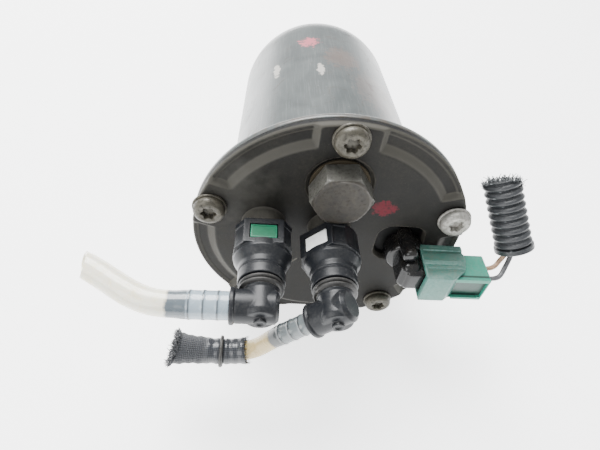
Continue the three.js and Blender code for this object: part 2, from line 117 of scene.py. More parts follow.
# %% Building a mesh from points
def built(name, points, faces, place=OWN, sharp=38, merge=True, uv=None):
    mesh = bpy.data.meshes.new(name)
    mesh.from_pydata([place @ Vector(p) for p in points], [], faces)
    if uv:
        layer = mesh.uv_layers.new(name="along")
        for loop, value in zip(layer.data, uv):
            loop.uv = value
    work = bmesh.new()
    work.from_mesh(mesh)
    if merge:
        bmesh.ops.remove_doubles(work, verts=work.verts, dist=2e-6)
    bmesh.ops.recalc_face_normals(work, faces=work.faces)
    work.to_mesh(mesh)
    work.free()
    mesh.shade_smooth()
    mesh.set_sharp_from_angle(angle=math.radians(sharp))
    made = bpy.data.objects.new(name, mesh)
    bpy.context.scene.collection.objects.link(made)
    return made


def softened(outline, radius=0.4, steps=3):
    """Eases each corner of a closed outline with a short curve; points on the axis stay."""
    result = []
    for i, corner in enumerate(outline):
        here, before, after = Vector(corner), Vector(outline[i - 1]), Vector(outline[(i + 1) % len(outline)])
        if here.x < 1e-6:
            result.append(tuple(here))
            continue
        back, forth = before - here, after - here
        start = here + back.normalized() * min(radius, back.length * 0.45)
        end = here + forth.normalized() * min(radius, forth.length * 0.45)
        for k in range(steps + 1):
            t = k / steps
            result.append(tuple(start * (1 - t) ** 2 + here * (2 * t * (1 - t)) + end * t ** 2))
    return result


def turned(name, outline, place=OWN, at=(0, 0), turns=96, swell=None, sharp=38):
    """A closed outline of [radius, h] spun about the axis; swell may change a radius with its angle."""
    points = []
    for j in range(turns):
        angle = TAU * j / turns
        for radius, h in outline:
            reach = swell(radius, h, angle) if swell else radius
            points.append((at[0] + reach * math.cos(angle), -h, at[1] + reach * math.sin(angle)))
    n = len(outline)
    faces = []
    for j in range(turns):
        a, b = j * n, ((j + 1) % turns) * n
        faces += [(a + i, a + (i + 1) % n, b + (i + 1) % n, b + i) for i in range(n)]
    return built(name, points, faces, place, sharp)


def arc(radius, centre, start, end, steps):
    """Points of a circle's arc in outline form."""
    turns = [start + (end - start) * k / steps for k in range(steps + 1)]
    return [(centre[0] + radius * math.cos(t), centre[1] + radius * math.sin(t)) for t in turns]


# %% Blocks, unions and eased edges
def block(name, low, high, place=OWN):
    """A box between two corners given as (x, h, z)."""
    (x1, h1, z1), (x2, h2, z2) = low, high
    points = [(x, -h, z) for x in (x1, x2) for h in (h1, h2) for z in (z1, z2)]
    faces = [(0, 1, 3, 2), (4, 6, 7, 5), (0, 4, 5, 1), (2, 3, 7, 6), (0, 2, 6, 4), (1, 5, 7, 3)]
    return built(name, points, faces, place)


def prism(name, outline, h1, h2, place=OWN):
    """An outline of (x, z) points pushed from h1 to h2."""
    n = len(outline)
    points = [(x, -h, z) for h in (h1, h2) for x, z in outline]
    faces = [tuple(range(n)), tuple(range(n, 2 * n))]
    faces += [(i, (i + 1) % n, n + (i + 1) % n, n + i) for i in range(n)]
    return built(name, points, faces, place)


def baked(made, sharp=38):
    """Applies the modifiers of a piece to its mesh."""
    bpy.context.view_layer.update()
    evaluated = made.evaluated_get(bpy.context.evaluated_depsgraph_get())
    mesh = bpy.data.meshes.new_from_object(evaluated)
    made.modifiers.clear()
    made.data = mesh
    mesh.shade_smooth()
    mesh.set_sharp_from_angle(angle=math.radians(sharp))
    return made


def combined(made, others, operation="DIFFERENCE"):
    for other in others:
        change = made.modifiers.new("change", "BOOLEAN")
        change.object = other
        change.operation = operation
        change.solver = "EXACT"
    baked(made)
    for other in others:
        bpy.data.objects.remove(other)
    return made


def eased(made, width=0.3, segments=3, angle=30):
    edge = made.modifiers.new("edge", "BEVEL")
    edge.width = width * MM
    edge.segments = segments
    edge.limit_method = "ANGLE"
    edge.angle_limit = math.radians(angle)
    return baked(made)


def together(name, parts):
    """Several meshes as one object."""
    work = bmesh.new()
    for part in parts:
        work.from_mesh(part.data)
    mesh = bpy.data.meshes.new(name)
    work.to_mesh(mesh)
    work.free()
    for part in parts:
        bpy.data.objects.remove(part)
    made = bpy.data.objects.new(name, mesh)
    bpy.context.scene.collection.objects.link(made)
    return made


def fused(name, parts, grain, smoothing):
    """Melts solids into one skin with small moulded fillets where they meet."""
    made = together(name, parts)
    skin = made.modifiers.new("skin", "REMESH")
    skin.mode = "VOXEL"
    skin.voxel_size = grain * MM
    ease = made.modifiers.new("ease", "SMOOTH")
    ease.iterations = smoothing
    ease.factor = 0.5
    return baked(made, sharp=60)


# %% [markdown]
# ## Routes
# A tube or wire is a section carried along a line. The line is a smooth curve through a few listed
# points, and the section is carried along it without twisting, so that an outline of (distance, radius) can
# be drawn for a bent tube just as it is for a turned piece.


# %% Routes and bent pieces
class Route:
    def __init__(self, knots, fineness=12):
        ends = [knots[0] * 2 - knots[1], *knots, knots[-1] * 2 - knots[-2]]
        self.points = []
        for a, b, c, d in zip(ends, ends[1:], ends[2:], ends[3:]):
            for k in range(fineness):
                t = k / fineness
                self.points.append(0.5 * (b * 2 + (c - a) * t + (a * 2 - b * 5 + c * 4 - d) * t ** 2
                                          + (b * 3 - a - c * 3 + d) * t ** 3))
        self.points.append(knots[-1].copy())
        self.distance = [0.0]
        for a, b in zip(self.points, self.points[1:]):
            self.distance.append(self.distance[-1] + (b - a).length)
        self.length = self.distance[-1]
        heading = (self.points[1] - self.points[0]).normalized()
        side = heading.cross(Vector((0, 0, 1)))
        side = (side if side.length > 0.1 else heading.cross(Vector((0, 1, 0)))).normalized()
        self.sides = []
        for a, b in zip(self.points, self.points[1:]):
            heading = (b - a).normalized()
            side = (side - heading * side.dot(heading)).normalized()
            self.sides.append((heading, side))
        self.sides.append(self.sides[-1])

    def at(self, s):
        """The point at distance s and the two directions of its section; past an end it runs on."""
        i = 0
        while i < len(self.distance) - 2 and self.distance[i + 1] < s:
            i += 1
        heading, side = self.sides[i]
        return self.points[i] + heading * (s - self.distance[i]), side, heading.cross(side)


def route_of(points):
    return Route([Vector((x, -h, z)) for x, h, z in points])


def bent(name, route, outline, place=OWN, turns=40, slant=(0, 0), sharp=38, squeeze=None, torn=0):
    """A closed outline of (distance, radius) carried round and along a route.

    slant cuts the far end slanting, torn makes that cut ragged, and squeeze flattens the section.
    """
    points, uv, faces = [], [], []
    cut, towards = slant
    for j in range(turns):
        angle = TAU * j / turns
        end = route.length - cut * (1 - math.cos(angle - towards)) / 2
        if torn:
            end -= torn * (0.5 + noise.noise(Vector((math.cos(angle) * 4, math.sin(angle) * 4, 7.3))))
        for s, radius in outline:
            centre, side, across = route.at(min(s, end))
            wide, tall = squeeze(s) if squeeze else (1, 1)
            out = side * (radius * wide * math.cos(angle))
            points.append(centre + out + across * (radius * tall * math.sin(angle)))
    n = len(outline)
    for j in range(turns):
        a, b = j * n, ((j + 1) % turns) * n
        for i in range(n):
            k = (i + 1) % n
            faces.append((a + i, a + k, b + k, b + i))
            u1, u2 = j / turns, (j + 1) / turns
            uv += [(u1, outline[i][0]), (u1, outline[k][0]), (u2, outline[k][0]), (u2, outline[i][0])]
    return built(name, points, faces, place, sharp, merge=False, uv=uv)


def walled(outer, bore, length, step):
    """The outline of a tube: outer(s) is its outside radius, bore its inside radius."""
    count = max(2, round(length / step))
    run = [length * k / count for k in range(count + 1)]
    return [(s, outer(s)) for s in run] + [(s, bore) for s in reversed(run)]


# %% [markdown]
# ## Materials
# Every finish is read in the filter's own millimetres, so that a mark on a piece stays on it when it
# moves. Most are layers: the clean stuff, then cloudy dust, then fine specks, then edges rubbed pale, which on the
# conduit's ribs are a painted highlight instead.


# %% Node helpers
def node(mat, kind, out=0, props=None, **values):
    made = mat.node_tree.nodes.new("ShaderNode" + kind)
    for key, value in (props or {}).items():
        setattr(made, key, value)
    for key, value in values.items():
        name = key.replace("_", " ")
        socket = made.inputs[int(key[1:])] if key[1:].isdigit() else made.inputs[name]
        if isinstance(value, bpy.types.NodeSocket):
            mat.node_tree.links.new(value, socket)
        else:
            socket.default_value = value
    return made.outputs[out]


def finish(name, slot, **constants):
    """A new material with its shader; constants are set on the shader's own sockets."""
    mat = bpy.data.materials.new(name)
    mat.use_nodes = True
    shader = mat.node_tree.nodes["Principled BSDF"]
    for key, value in constants.items():
        shader.inputs[key.replace("_", " ")].default_value = value
    return mat, shader


def drive(mat, shader, **sockets):
    for key, source in sockets.items():
        mat.node_tree.links.new(source, shader.inputs[key.replace("_", " ")])


def own_mm(mat):
    """Where a point is, in the filter's own frame, in millimetres."""
    here = node(mat, "TexCoord", out=3)
    return node(mat, "Mapping", props={"vector_type": "TEXTURE"}, Vector=here, Location=tuple(seat),
                Rotation=(-tilt, 0, 0), Scale=(MM, MM, MM))


def clouds(mat, at, scale, detail=4.0, roughness=0.6, distortion=0.0):
    return node(mat, "TexNoise", Vector=at, Scale=scale, Detail=detail, Roughness=roughness,
                Distortion=distortion)


def spread(mat, value, low, high, first=0.0, last=1.0):
    """Stretches a value from low..high to first..last and holds it there."""
    return node(mat, "MapRange", Value=value, From_Min=low, From_Max=high, To_Min=first, To_Max=last)


def blend(mat, share, one, two, mode="MIX"):
    return node(mat, "Mix", out=2, props={"data_type": "RGBA", "blend_type": mode}, i0=share, i6=one, i7=two)


def sums(mat, operation, one, two=0.0, clamp=False):
    return node(mat, "Math", props={"operation": operation, "use_clamp": clamp}, i0=one, i1=two)


def relief(mat, height, strength, distance):
    return node(mat, "Bump", Height=height, Strength=strength, Distance=distance * MM)


def worn(mat, low=0.52, high=0.6):
    """High on edges that stand proud."""
    return spread(mat, node(mat, "NewGeometry", out=7), low, high)


def upward(mat, low=0.2, high=0.9):
    """High where dust can settle."""
    normal = node(mat, "NewGeometry", out=1)
    return spread(mat, node(mat, "SeparateXYZ", out=2, Vector=normal), low, high)


def patch(mat, at, centre, reach, edge, ragged, scale):
    """One where a point lies within reach of a centre (x, h, z); ragged edges come from noise."""
    middle = (centre[0], -centre[1], centre[2])
    offset = node(mat, "VectorMath", props={"operation": "SUBTRACT"}, i0=at, i1=middle)
    shaped = node(mat, "VectorMath", props={"operation": "DIVIDE"}, i0=offset, i1=reach)
    away = node(mat, "VectorMath", out=1, props={"operation": "LENGTH"}, i0=shaped)
    away = sums(mat, "ADD", away, spread(mat, clouds(mat, at, scale), 0.25, 0.75, -ragged, ragged))
    return spread(mat, away, 1.0, 1.0 - edge)


# %% [markdown]
# ## Road dust
# Most of the black and green mouldings wear the same dirt in different amounts. One recipe makes it:
# drifting clouds of dust that settle on upward faces, scattered pale specks, and edges rubbed back to the
# clean colour. On the conduit the pale edge colour is a painted highlight on its ribs instead.

# %% A dusty surface, used by many finishes
def dusty(name, slot, base, dust, amount=0.5, gloss=(0.35, 0.8), patches=0.07, grain=1.2, specks=0.67,
          bump=0.25, edge=None, **constants):
    mat, shader = finish(name, slot, **constants)
    at = own_mm(mat)
    drift = spread(mat, clouds(mat, at, patches, 5.0, 0.62, 0.6), 0.38, 0.66)
    fine = spread(mat, clouds(mat, at, grain, 5.0, 0.7), 0.4, 0.7)
    settled = sums(mat, "MULTIPLY", sums(mat, "ADD", drift, upward(mat)), amount, clamp=True)
    film = sums(mat, "MULTIPLY", settled, sums(mat, "ADD", fine, 0.25), clamp=True)
    spots = spread(mat, clouds(mat, at, 2.6, 2.0, 0.5), specks, specks + 0.05)
    cover = sums(mat, "MAXIMUM", film, sums(mat, "MULTIPLY", spots, 0.55))
    shade = blend(mat, spread(mat, clouds(mat, at, 0.25), 0.3, 0.7, 0.0, 0.55), (*base, 1),
                  (*[c * 0.6 for c in base], 1))
    colour = blend(mat, cover, shade, (*dust, 1))
    # Proud edges take the edge colour: rubbed wear on most pieces, a painted highlight on the conduit's ribs.
    if edge:
        rubbed = sums(mat, "MULTIPLY", worn(mat), spread(mat, fine, 0.0, 0.6, 0.35, 1.0))
        colour = blend(mat, rubbed, colour, (*edge, 1))
    rough = spread(mat, cover, 0.0, 0.8, *gloss)
    height = sums(mat, "ADD", clouds(mat, at, 4.5, 3.0), sums(mat, "MULTIPLY", spots, 0.8))
    drive(mat, shader, Base_Color=colour, Roughness=rough, Normal=relief(mat, height, bump, 0.12))
    return mat, shader, colour


# %% [markdown]
# ## Finishes
# The canister is sprayed steel with a soft shine, rubbed and smudged by hands and rags. The cover is
# glass-filled nylon that years under a bonnet have left brown-black and matt, with road dust in every
# hollow.

# %% Canister paint
def canister_paint():
    mat, shader = finish("canister_paint", "canister_paint", Metallic=0.1, Coat_Weight=0.4,
                         Coat_Roughness=0.25, Specular_IOR_Level=0.35)
    at = own_mm(mat)
    mottle = spread(mat, clouds(mat, at, 0.05, 6.0, 0.6, 0.8), 0.3, 0.7)
    colour = blend(mat, mottle, (0.045, 0.053, 0.053, 1), (0.078, 0.089, 0.087, 1))
    drawn = node(mat, "Mapping", Vector=at, Scale=(1.6, 0.05, 1.6))
    streaks = spread(mat, clouds(mat, drawn, 1.0, 4.0, 0.6), 0.5, 0.8)
    colour = blend(mat, sums(mat, "MULTIPLY", streaks, 0.35), colour, (0.2, 0.215, 0.21, 1))
    grime = spread(mat, clouds(mat, at, 0.11, 7.0, 0.7, 1.2), 0.56, 0.7)
    colour = blend(mat, sums(mat, "MULTIPLY", grime, 0.5), colour, (0.06, 0.042, 0.03, 1))
    smears = [((-9, -92, 43), (5.5, 6, 9), 0.5, 0.85, (0.5, 0.12, 0.15)),
              ((-24, -72, 33), (1.6, 7, 9), 0.4, 0.55, (0.62, 0.58, 0.52)),
              ((-5, -62, 41), (1.7, 6, 9), 0.4, 0.55, (0.66, 0.62, 0.56)),
              ((6, -76, 40), (9, 11, 12), 0.6, 0.4, (0.16, 0.1, 0.075)),
              ((20, -52, 34), (13, 18, 14), 0.6, 0.3, (0.17, 0.12, 0.1))]
    for centre, reach, ragged, share, paint in smears:
        mask = patch(mat, at, centre, reach, 0.22, ragged, 0.5)
        colour = blend(mat, sums(mat, "MULTIPLY", mask, share), colour, (*paint, 1))
    y = node(mat, "SeparateXYZ", out=1, Vector=at)
    broken = spread(mat, clouds(mat, at, 0.2, 5.0), 0.4, 0.6)
    mouth_dirt = sums(mat, "MULTIPLY", spread(mat, y, 13.0, 5.0), broken)
    colour = blend(mat, sums(mat, "MULTIPLY", mouth_dirt, 0.75), colour, (0.07, 0.05, 0.035, 1))
    chips = spread(mat, clouds(mat, at, 0.9, 3.0, 0.5), 0.72, 0.75)
    colour = blend(mat, sums(mat, "MULTIPLY", chips, 0.5), colour, (0.3, 0.29, 0.27, 1))
    rubbed = sums(mat, "MULTIPLY", worn(mat, 0.53, 0.62), 0.6)
    colour = blend(mat, rubbed, colour, (0.36, 0.36, 0.34, 1))
    rough = spread(mat, sums(mat, "ADD", grime, mottle), 0.0, 1.6, 0.3, 0.52)
    peel = sums(mat, "ADD", clouds(mat, at, 0.7, 2.0), sums(mat, "MULTIPLY", clouds(mat, at, 6.0, 2.0), 0.25))
    drive(mat, shader, Base_Color=colour, Roughness=rough, Normal=relief(mat, peel, 0.16, 0.12))
    return mat


# %% [markdown]
# ## The cover's own marks
# The cover is dusty like the rest, and carries more: its moulded slopes are painted lighter as a painted
# highlight, its pocket is painted nearly black as painted shade, and there is a dab of red paint beside the plug.
# Each is a mask laid over the dusty colour.

# %% Cover moulding with its paint smear, stains, painted highlight and painted shade
def cover_moulding():
    mat, shader, colour = dusty("cover_moulding", "cover_moulding", (0.007, 0.0066, 0.0056),
                                (0.036, 0.033, 0.027), amount=0.4, gloss=(0.55, 0.85), patches=0.06,
                                grain=0.8, specks=0.66, bump=0.4, edge=(0.09, 0.084, 0.07),
                                Specular_IOR_Level=0.18)
    at = own_mm(mat)
    # Sloped faces above the plate, such as the sides of the raised star, are painted lighter: a painted highlight.
    normal, outward = node(mat, "NewGeometry", out=1), (0, math.cos(tilt), -math.sin(tilt))
    facing = node(mat, "VectorMath", out=1, props={"operation": "DOT_PRODUCT"}, i0=normal, i1=outward)
    slope = sums(mat, "ABSOLUTE", facing)
    y = node(mat, "SeparateXYZ", out=1, Vector=at)
    ridge = sums(mat, "MULTIPLY", spread(mat, slope, 0.985, 0.9), spread(mat, y, 0.6, -0.2))
    colour = blend(mat, sums(mat, "MULTIPLY", ridge, 0.6), colour, (0.075, 0.071, 0.06, 1))
    # The pocket is painted nearly black: painted shade.
    painted_hollow_shade = sums(mat, "MULTIPLY", spread(mat, y, 0.3, 1.0), spread(mat, y, 2.7, 2.5))
    colour = blend(mat, painted_hollow_shade, colour, (0.006, 0.006, 0.006, 1))
    red = patch(mat, at, (18.6, 2, 19), (4.8, 6, 4.4), 0.25, 0.5, 0.45)
    thin = sums(mat, "MULTIPLY", red, spread(mat, clouds(mat, at, 0.8, 4.0), 0.3, 0.5, 0.25, 0.92))
    colour = blend(mat, thin, colour, (0.11, 0.006, 0.014, 1))
    pale = patch(mat, at, (-38, 2, 24), (16, 8, 18), 0.7, 0.4, 0.2)
    colour = blend(mat, sums(mat, "MULTIPLY", pale, 0.3), colour, (0.08, 0.077, 0.068, 1))
    drive(mat, shader, Base_Color=colour)
    return mat


# %% [markdown]
# ## Plated steel
# Screws and plug are zinc plated, and the plating has gone dull and grimy. Clouds of grime over a weak
# metal give that better than a shiny metal would, with a little bright metal left where edges are rubbed.

# %% Metals
def zinc(name, tint=(0.075, 0.068, 0.05), grime=(0.018, 0.015, 0.01), amount=0.8, metallic=0.3, rub=0.3):
    mat, shader = finish(name, "dirty_zinc", Metallic=metallic)
    at = own_mm(mat)
    cloud = spread(mat, clouds(mat, at, 0.35, 6.0, 0.65, 0.5), 0.35, 0.68)
    colour = blend(mat, cloud, (*tint, 1), (*[c * 0.62 for c in tint], 1))
    crust = spread(mat, clouds(mat, at, 0.8, 6.0, 0.7), 0.48, 0.66)
    colour = blend(mat, sums(mat, "MULTIPLY", crust, amount), colour, (*grime, 1))
    # Concave places, such as the lobed recess, are painted darker than the grime: painted shade.
    painted_hollow_shade = spread(mat, node(mat, "NewGeometry", out=7), 0.5, 0.44)
    colour = blend(mat, sums(mat, "MULTIPLY", painted_hollow_shade, 0.8), colour, (*[c * 0.6 for c in grime], 1))
    colour = blend(mat, sums(mat, "MULTIPLY", worn(mat, 0.53, 0.6), rub), colour, (0.34, 0.325, 0.28, 1))
    rough = spread(mat, crust, 0.0, 1.0, 0.38, 0.72)
    height = sums(mat, "ADD", clouds(mat, at, 2.2, 4.0), clouds(mat, at, 7.0, 2.0))
    drive(mat, shader, Base_Color=colour, Roughness=rough, Normal=relief(mat, height, 0.25, 0.12))
    return mat, shader, colour


def stained_zinc():
    """The hexagon plug: its round face is soaked brown with old fuel."""
    mat, shader, colour = zinc("stained_zinc", (0.1, 0.098, 0.086), (0.035, 0.031, 0.025), 0.65)
    at = own_mm(mat)
    h = node(mat, "SeparateXYZ", out=1, Vector=at)
    face = spread(mat, h, -11.35, -11.6)
    soaked = spread(mat, clouds(mat, at, 0.22, 6.0, 0.65, 1.0), 0.35, 0.65)
    stain = blend(mat, soaked, (0.01, 0.008, 0.006, 1), (0.03, 0.024, 0.016, 1))
    colour = blend(mat, sums(mat, "MULTIPLY", face, 0.9), colour, stain)
    colour = blend(mat, sums(mat, "MULTIPLY", worn(mat, 0.55, 0.62), 0.6), colour, (0.3, 0.29, 0.26, 1))
    shader.inputs["Metallic"].default_value = 0.25
    drive(mat, shader, Base_Color=colour)
    return mat


def plain_metal(name, slot, tint, rough=0.35):
    mat, shader = finish(name, slot, Metallic=0.9)
    at = own_mm(mat)
    colour = blend(mat, clouds(mat, at, 0.5, 5.0), (*tint, 1), (*[c * 0.7 for c in tint], 1))
    dull = spread(mat, clouds(mat, at, 1.5), 0.3, 0.7, rough, rough + 0.2)
    drive(mat, shader, Base_Color=colour, Roughness=dull, Normal=relief(mat, clouds(mat, at, 5.0), 0.15, 0.1))
    return mat


# %% [markdown]
# ## Nylon fuel tube
# A nylon tube shows what is under it. It is clear and bluish where it is stretched over the barbs, with a ring of
# painted shade at each barb, dark over the end of the stem, then milky. The finish reads the distance along the
# tube, which every bent piece carries.

# %% Tubes
BARBS = (13.6, 18.2, 22.8)
TUBE_START = 10.4


def fuel_tube(name, clear, cream, change):
    """Nylon tube: clear over the barbs with a ring of painted shade at each barb, dark over the stem's end, and
    milky from change on.
    """
    mat, shader = finish(name, "fuel_tube", IOR=1.5, Subsurface_Weight=0.15, Coat_Weight=0.5,
                         Coat_Roughness=0.1)
    shader.inputs["Subsurface Radius"].default_value = (0.004, 0.003, 0.002)
    along = node(mat, "SeparateXYZ", out=1, Vector=node(mat, "UVMap", props={"uv_map": "along"}))
    at = own_mm(mat)
    ragged = sums(mat, "ADD", along, spread(mat, clouds(mat, at, 0.4), 0.3, 0.7, -0.4, 0.4))
    milky = spread(mat, ragged, change - 0.5, change + 0.6)
    soil = spread(mat, clouds(mat, at, 0.25, 6.0, 0.65, 0.8), 0.45, 0.75)
    yellowed = [c * f for c, f in zip(cream, (0.85, 0.75, 0.5))]
    body = blend(mat, sums(mat, "MULTIPLY", soil, 0.6), (*cream, 1), (*yellowed, 1))
    past_barbs = spread(mat, along, BARBS[-1] - 10.0, BARBS[-1] - 9.0)
    grip = blend(mat, past_barbs, (*clear, 1), (*[c * 0.33 for c in clear], 1))
    # Each barb's ridge gets a dark ring: painted shade at the ridge.
    for barb in BARBS:
        off = sums(mat, "ABSOLUTE", sums(mat, "SUBTRACT", along, barb - 10.1))
        grip = blend(mat, spread(mat, off, 0.5, 0.15, 0.0, 0.85), grip, (*[c * 0.12 for c in clear], 1))
    colour = blend(mat, milky, grip, body)
    drive(mat, shader, Base_Color=colour, Roughness=spread(mat, soil, 0.0, 1.0, 0.2, 0.4),
          Transmission_Weight=spread(mat, milky, 0.0, 1.0, 0.05, 0.15),
          Normal=relief(mat, clouds(mat, at, 0.8, 3.0), 0.08, 0.15))
    return mat


# %% [markdown]
# ## Sleeve, wires and the plug's core
# Two crossing sets of waves round and along the sleeve make its weave. It fades where the coating is
# whole.

# %% Woven and shiny sleeve, wires
def sleeve_cloth():
    mat, shader = finish("sleeve_cloth", "rubber", Sheen_Weight=0.3)
    place = node(mat, "UVMap", props={"uv_map": "along"})
    u = node(mat, "SeparateXYZ", out=0, Vector=place)
    v = node(mat, "SeparateXYZ", out=1, Vector=place)
    waves = []
    for sense in (1, -1):
        slope = sums(mat, "ADD", sums(mat, "MULTIPLY", u, TAU * 22), sums(mat, "MULTIPLY", v, sense * 4.6))
        waves.append(sums(mat, "SINE", slope))
    weave = sums(mat, "MULTIPLY", waves[0], waves[1])
    at = own_mm(mat)
    worn_side = spread(mat, v, 14.0, 17.5)
    colour = blend(mat, spread(mat, weave, -1.0, 1.0), (0.01, 0.011, 0.014, 1), (0.045, 0.048, 0.055, 1))
    lint = spread(mat, clouds(mat, at, 1.8, 3.0), 0.62, 0.72)
    colour = blend(mat, sums(mat, "MULTIPLY", lint, 0.35), colour, (0.13, 0.13, 0.13, 1))
    rough = spread(mat, worn_side, 0.0, 1.0, 0.24, 0.85)
    strength = sums(mat, "ADD", sums(mat, "MULTIPLY", worn_side, 0.9), 0.08)
    height = sums(mat, "MULTIPLY", weave, strength)
    drive(mat, shader, Base_Color=colour, Roughness=rough, Normal=relief(mat, height, 0.7, 0.25))
    return mat


def insulation(name, slot, tint):
    mat, shader = finish(name, slot)
    at = own_mm(mat)
    faded = spread(mat, clouds(mat, at, 0.8, 4.0), 0.35, 0.7)
    colour = blend(mat, faded, (*tint, 1), (*[c * 0.55 for c in tint], 1))
    drive(mat, shader, Base_Color=colour, Roughness=spread(mat, clouds(mat, at, 1.2), 0.3, 0.7, 0.3, 0.55),
          Normal=relief(mat, clouds(mat, at, 4.0), 0.2, 0.1))
    return mat


def core_green():
    """The bright green core; the floor of its front channel is painted dark grey, partly grit and partly painted
    shade.
    """
    mat, shader, colour = dusty("body_green", "green_plastic", (0.012, 0.22, 0.15), (0.09, 0.15, 0.115),
                                amount=0.32, gloss=(0.32, 0.65), patches=0.16, grain=0.9, bump=0.16,
                                specks=0.71, edge=(0.1, 0.36, 0.28))
    y = node(mat, "SeparateXYZ", out=1, Vector=own_mm(mat))
    # The channel's floor is painted dark: painted shade, with some grit.
    floor = sums(mat, "MULTIPLY", spread(mat, y, -18.9, -18.6), spread(mat, y, -17.6, -17.9))
    dust_and_painted_shade = blend(mat, sums(mat, "MULTIPLY", floor, 0.85), colour, (0.012, 0.017, 0.015, 1))
    drive(mat, shader, Base_Color=dust_and_painted_shade)
    return mat


# %% [markdown]
# ## The finishes together
# Every finish is made once and named, so that pieces of the same stuff share it and match.

# %% All finishes
PAINT = canister_paint()
COVER = cover_moulding()
ZINC = zinc("dirty_zinc")[0]
STAINED = stained_zinc()
BRIGHT = zinc("bright_zinc", (0.36, 0.35, 0.32), (0.1, 0.088, 0.07), 0.55, 0.45, 0.9)[0]
STEEL = plain_metal("steel", "steel", (0.5, 0.51, 0.52))
BRASS = plain_metal("brass", "brass", (0.07, 0.058, 0.038), 0.65)
NYLON = dusty("connector_nylon", "black_nylon", (0.006, 0.0075, 0.0105), (0.045, 0.044, 0.042), amount=0.25,
              gloss=(0.3, 0.6), patches=0.16, grain=1.5, bump=0.09, edge=(0.06, 0.06, 0.06),
              Specular_IOR_Level=0.3)[0]
GLOSS_BLACK = dusty("socket_nylon", "black_nylon", (0.005, 0.0055, 0.0065), (0.03, 0.025, 0.018), amount=0.22,
                    gloss=(0.16, 0.5), patches=0.12, grain=0.3, specks=0.76, bump=0.03,
                    edge=(0.04, 0.038, 0.034), Specular_IOR_Level=0.4)[0]
RUBBER = dusty("bellows_rubber", "rubber", (0.009, 0.009, 0.0095), (0.08, 0.075, 0.066), amount=0.28,
               gloss=(0.42, 0.8), patches=0.3, grain=1.6, bump=0.2, edge=(0.12, 0.115, 0.105))[0]
# The conduit's pale edge colour is a painted highlight on the crests of its ribs.
CONDUIT_BLACK = dusty("conduit_nylon", "black_nylon", (0.017, 0.019, 0.022), (0.085, 0.088, 0.09),
                      amount=0.26, gloss=(0.34, 0.65), patches=0.15, grain=1.5, bump=0.25,
                      edge=(0.18, 0.19, 0.195))[0]
GREEN = dusty("button_green", "green_plastic", (0.004, 0.12, 0.055), (0.04, 0.1, 0.07), amount=0.1,
              gloss=(0.4, 0.6), bump=0.08, specks=0.72, edge=(0.05, 0.28, 0.18), Specular_IOR_Level=0.25)[0]
WHITE = dusty("button_white", "white_plastic", (1.0, 1.0, 0.97), (0.7, 0.68, 0.62), amount=0.1,
              gloss=(0.35, 0.6), bump=0.1, specks=0.73)[0]
SHELL = dusty("shell_green", "pale_green_plastic", (0.03, 0.15, 0.118), (0.1, 0.125, 0.1), amount=0.45,
              gloss=(0.36, 0.7), patches=0.16, grain=0.9, bump=0.2, specks=0.7, edge=(0.18, 0.34, 0.3))[0]
BODY = core_green()
LEFT_NYLON = fuel_tube("left_fuel_tube", (0.3, 0.37, 0.42), (1.0, 0.96, 0.8), 19.8)
RIGHT_NYLON = fuel_tube("right_fuel_tube", (0.13, 0.15, 0.155), (0.6, 0.47, 0.22), 17.4)
SLEEVE = sleeve_cloth()
COPPER = insulation("copper_insulation", "copper_insulation", (0.46, 0.29, 0.185))
GREY = insulation("grey_insulation", "grey_insulation", (0.11, 0.11, 0.115))
PAPER = insulation("filter_paper", "filter_paper", (0.72, 0.6, 0.32))

# %% [markdown]
# ## Dressing a piece
# A piece rides on the body of the CAD part it stands for, takes its finish, and
# hides that part.


# %% Dress
node_body = {name: body for body, names in frame["record"]["behaviour"]["bodies"].items() for name in names}


def dress(made, mat, *stands_for, body=None):
    made.data.materials.clear()
    made.data.materials.append(mat)
    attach(made, body or node_body[stands_for[0]])
    if stands_for:
        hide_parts(*stands_for)
    return made


# %% [markdown]
# ## Fuel tubes, sleeve and wires
# These are the pieces that bend. Each tube is cut nylon pushed over a barbed stem: it swells a little
# over every barb. The right one still wears a piece of its woven sleeve, with a tie round it and a frayed
# end.

# %% Tube sizes and routes
LEFT_SIZE = {"stem": 2.9, "barb": 3.25, "tube": 4.6, "bore": 3.6, "nipple": 4.75}
RIGHT_SIZE = {"stem": 2.1, "barb": 2.4, "tube": 3.6, "bore": 2.75, "nipple": 3.95}
OUTLET_H, STEM_END = 41, 30
LEFT_ROUTE = [(-10.4, 41, 0), (-17, 41, 0), (-24, 41, 0), (-30.5, 41, 0), (-36, 40.3, 0.1), (-41, 38.6, 0.4),
              (-45.8, 36.1, 0.8), (-50.5, 33.2, 1.2), (-54.8, 30.6, 1.6), (-58.8, 28.5, 2), (-62.6, 27, 2.3)]
RIGHT_ROUTE = [(-10.5, 41, 0), (-17, 41, 0), (-24, 41, 0), (-30, 41, -0.4), (-36, 41, -1.1), (-42, 41, -0.1),
               (-47.6, 41, 3.9), (-52.4, 41, 9), (-56.8, 41, 14.4), (-61, 41, 19.8)]
left_line, right_line = route_of(LEFT_ROUTE), route_of(RIGHT_ROUTE)
sleeve_line = route_of(RIGHT_ROUTE[5:])
print("tubes:", round(left_line.length, 1), round(right_line.length, 1), "mm")
print("sleeve:", round(sleeve_line.length, 1), "mm")


def over_barbs(size, start):
    """The tube's outside: ridges where it is stretched over the barbs, and a slight neck past the stem."""
    def outer(s):
        x = s + start
        ridge = sum(math.exp(-((x - b - 0.3) / 0.45) ** 2) for b in BARBS)
        lift = 0.25 if x < BARBS[-1] + 2 else 0.25 * max(0.0, 1 - (x - BARBS[-1] - 2) / 3)
        return size["tube"] * 0.985 + lift + 0.22 * ridge
    return outer


# %% [markdown]
# ## Barbed stems
# A barb is a saw tooth in a turned outline: it lets the tube on and not off. The stem is a bent piece
# that happens to be straight, so it uses the same helper as the tube it holds.

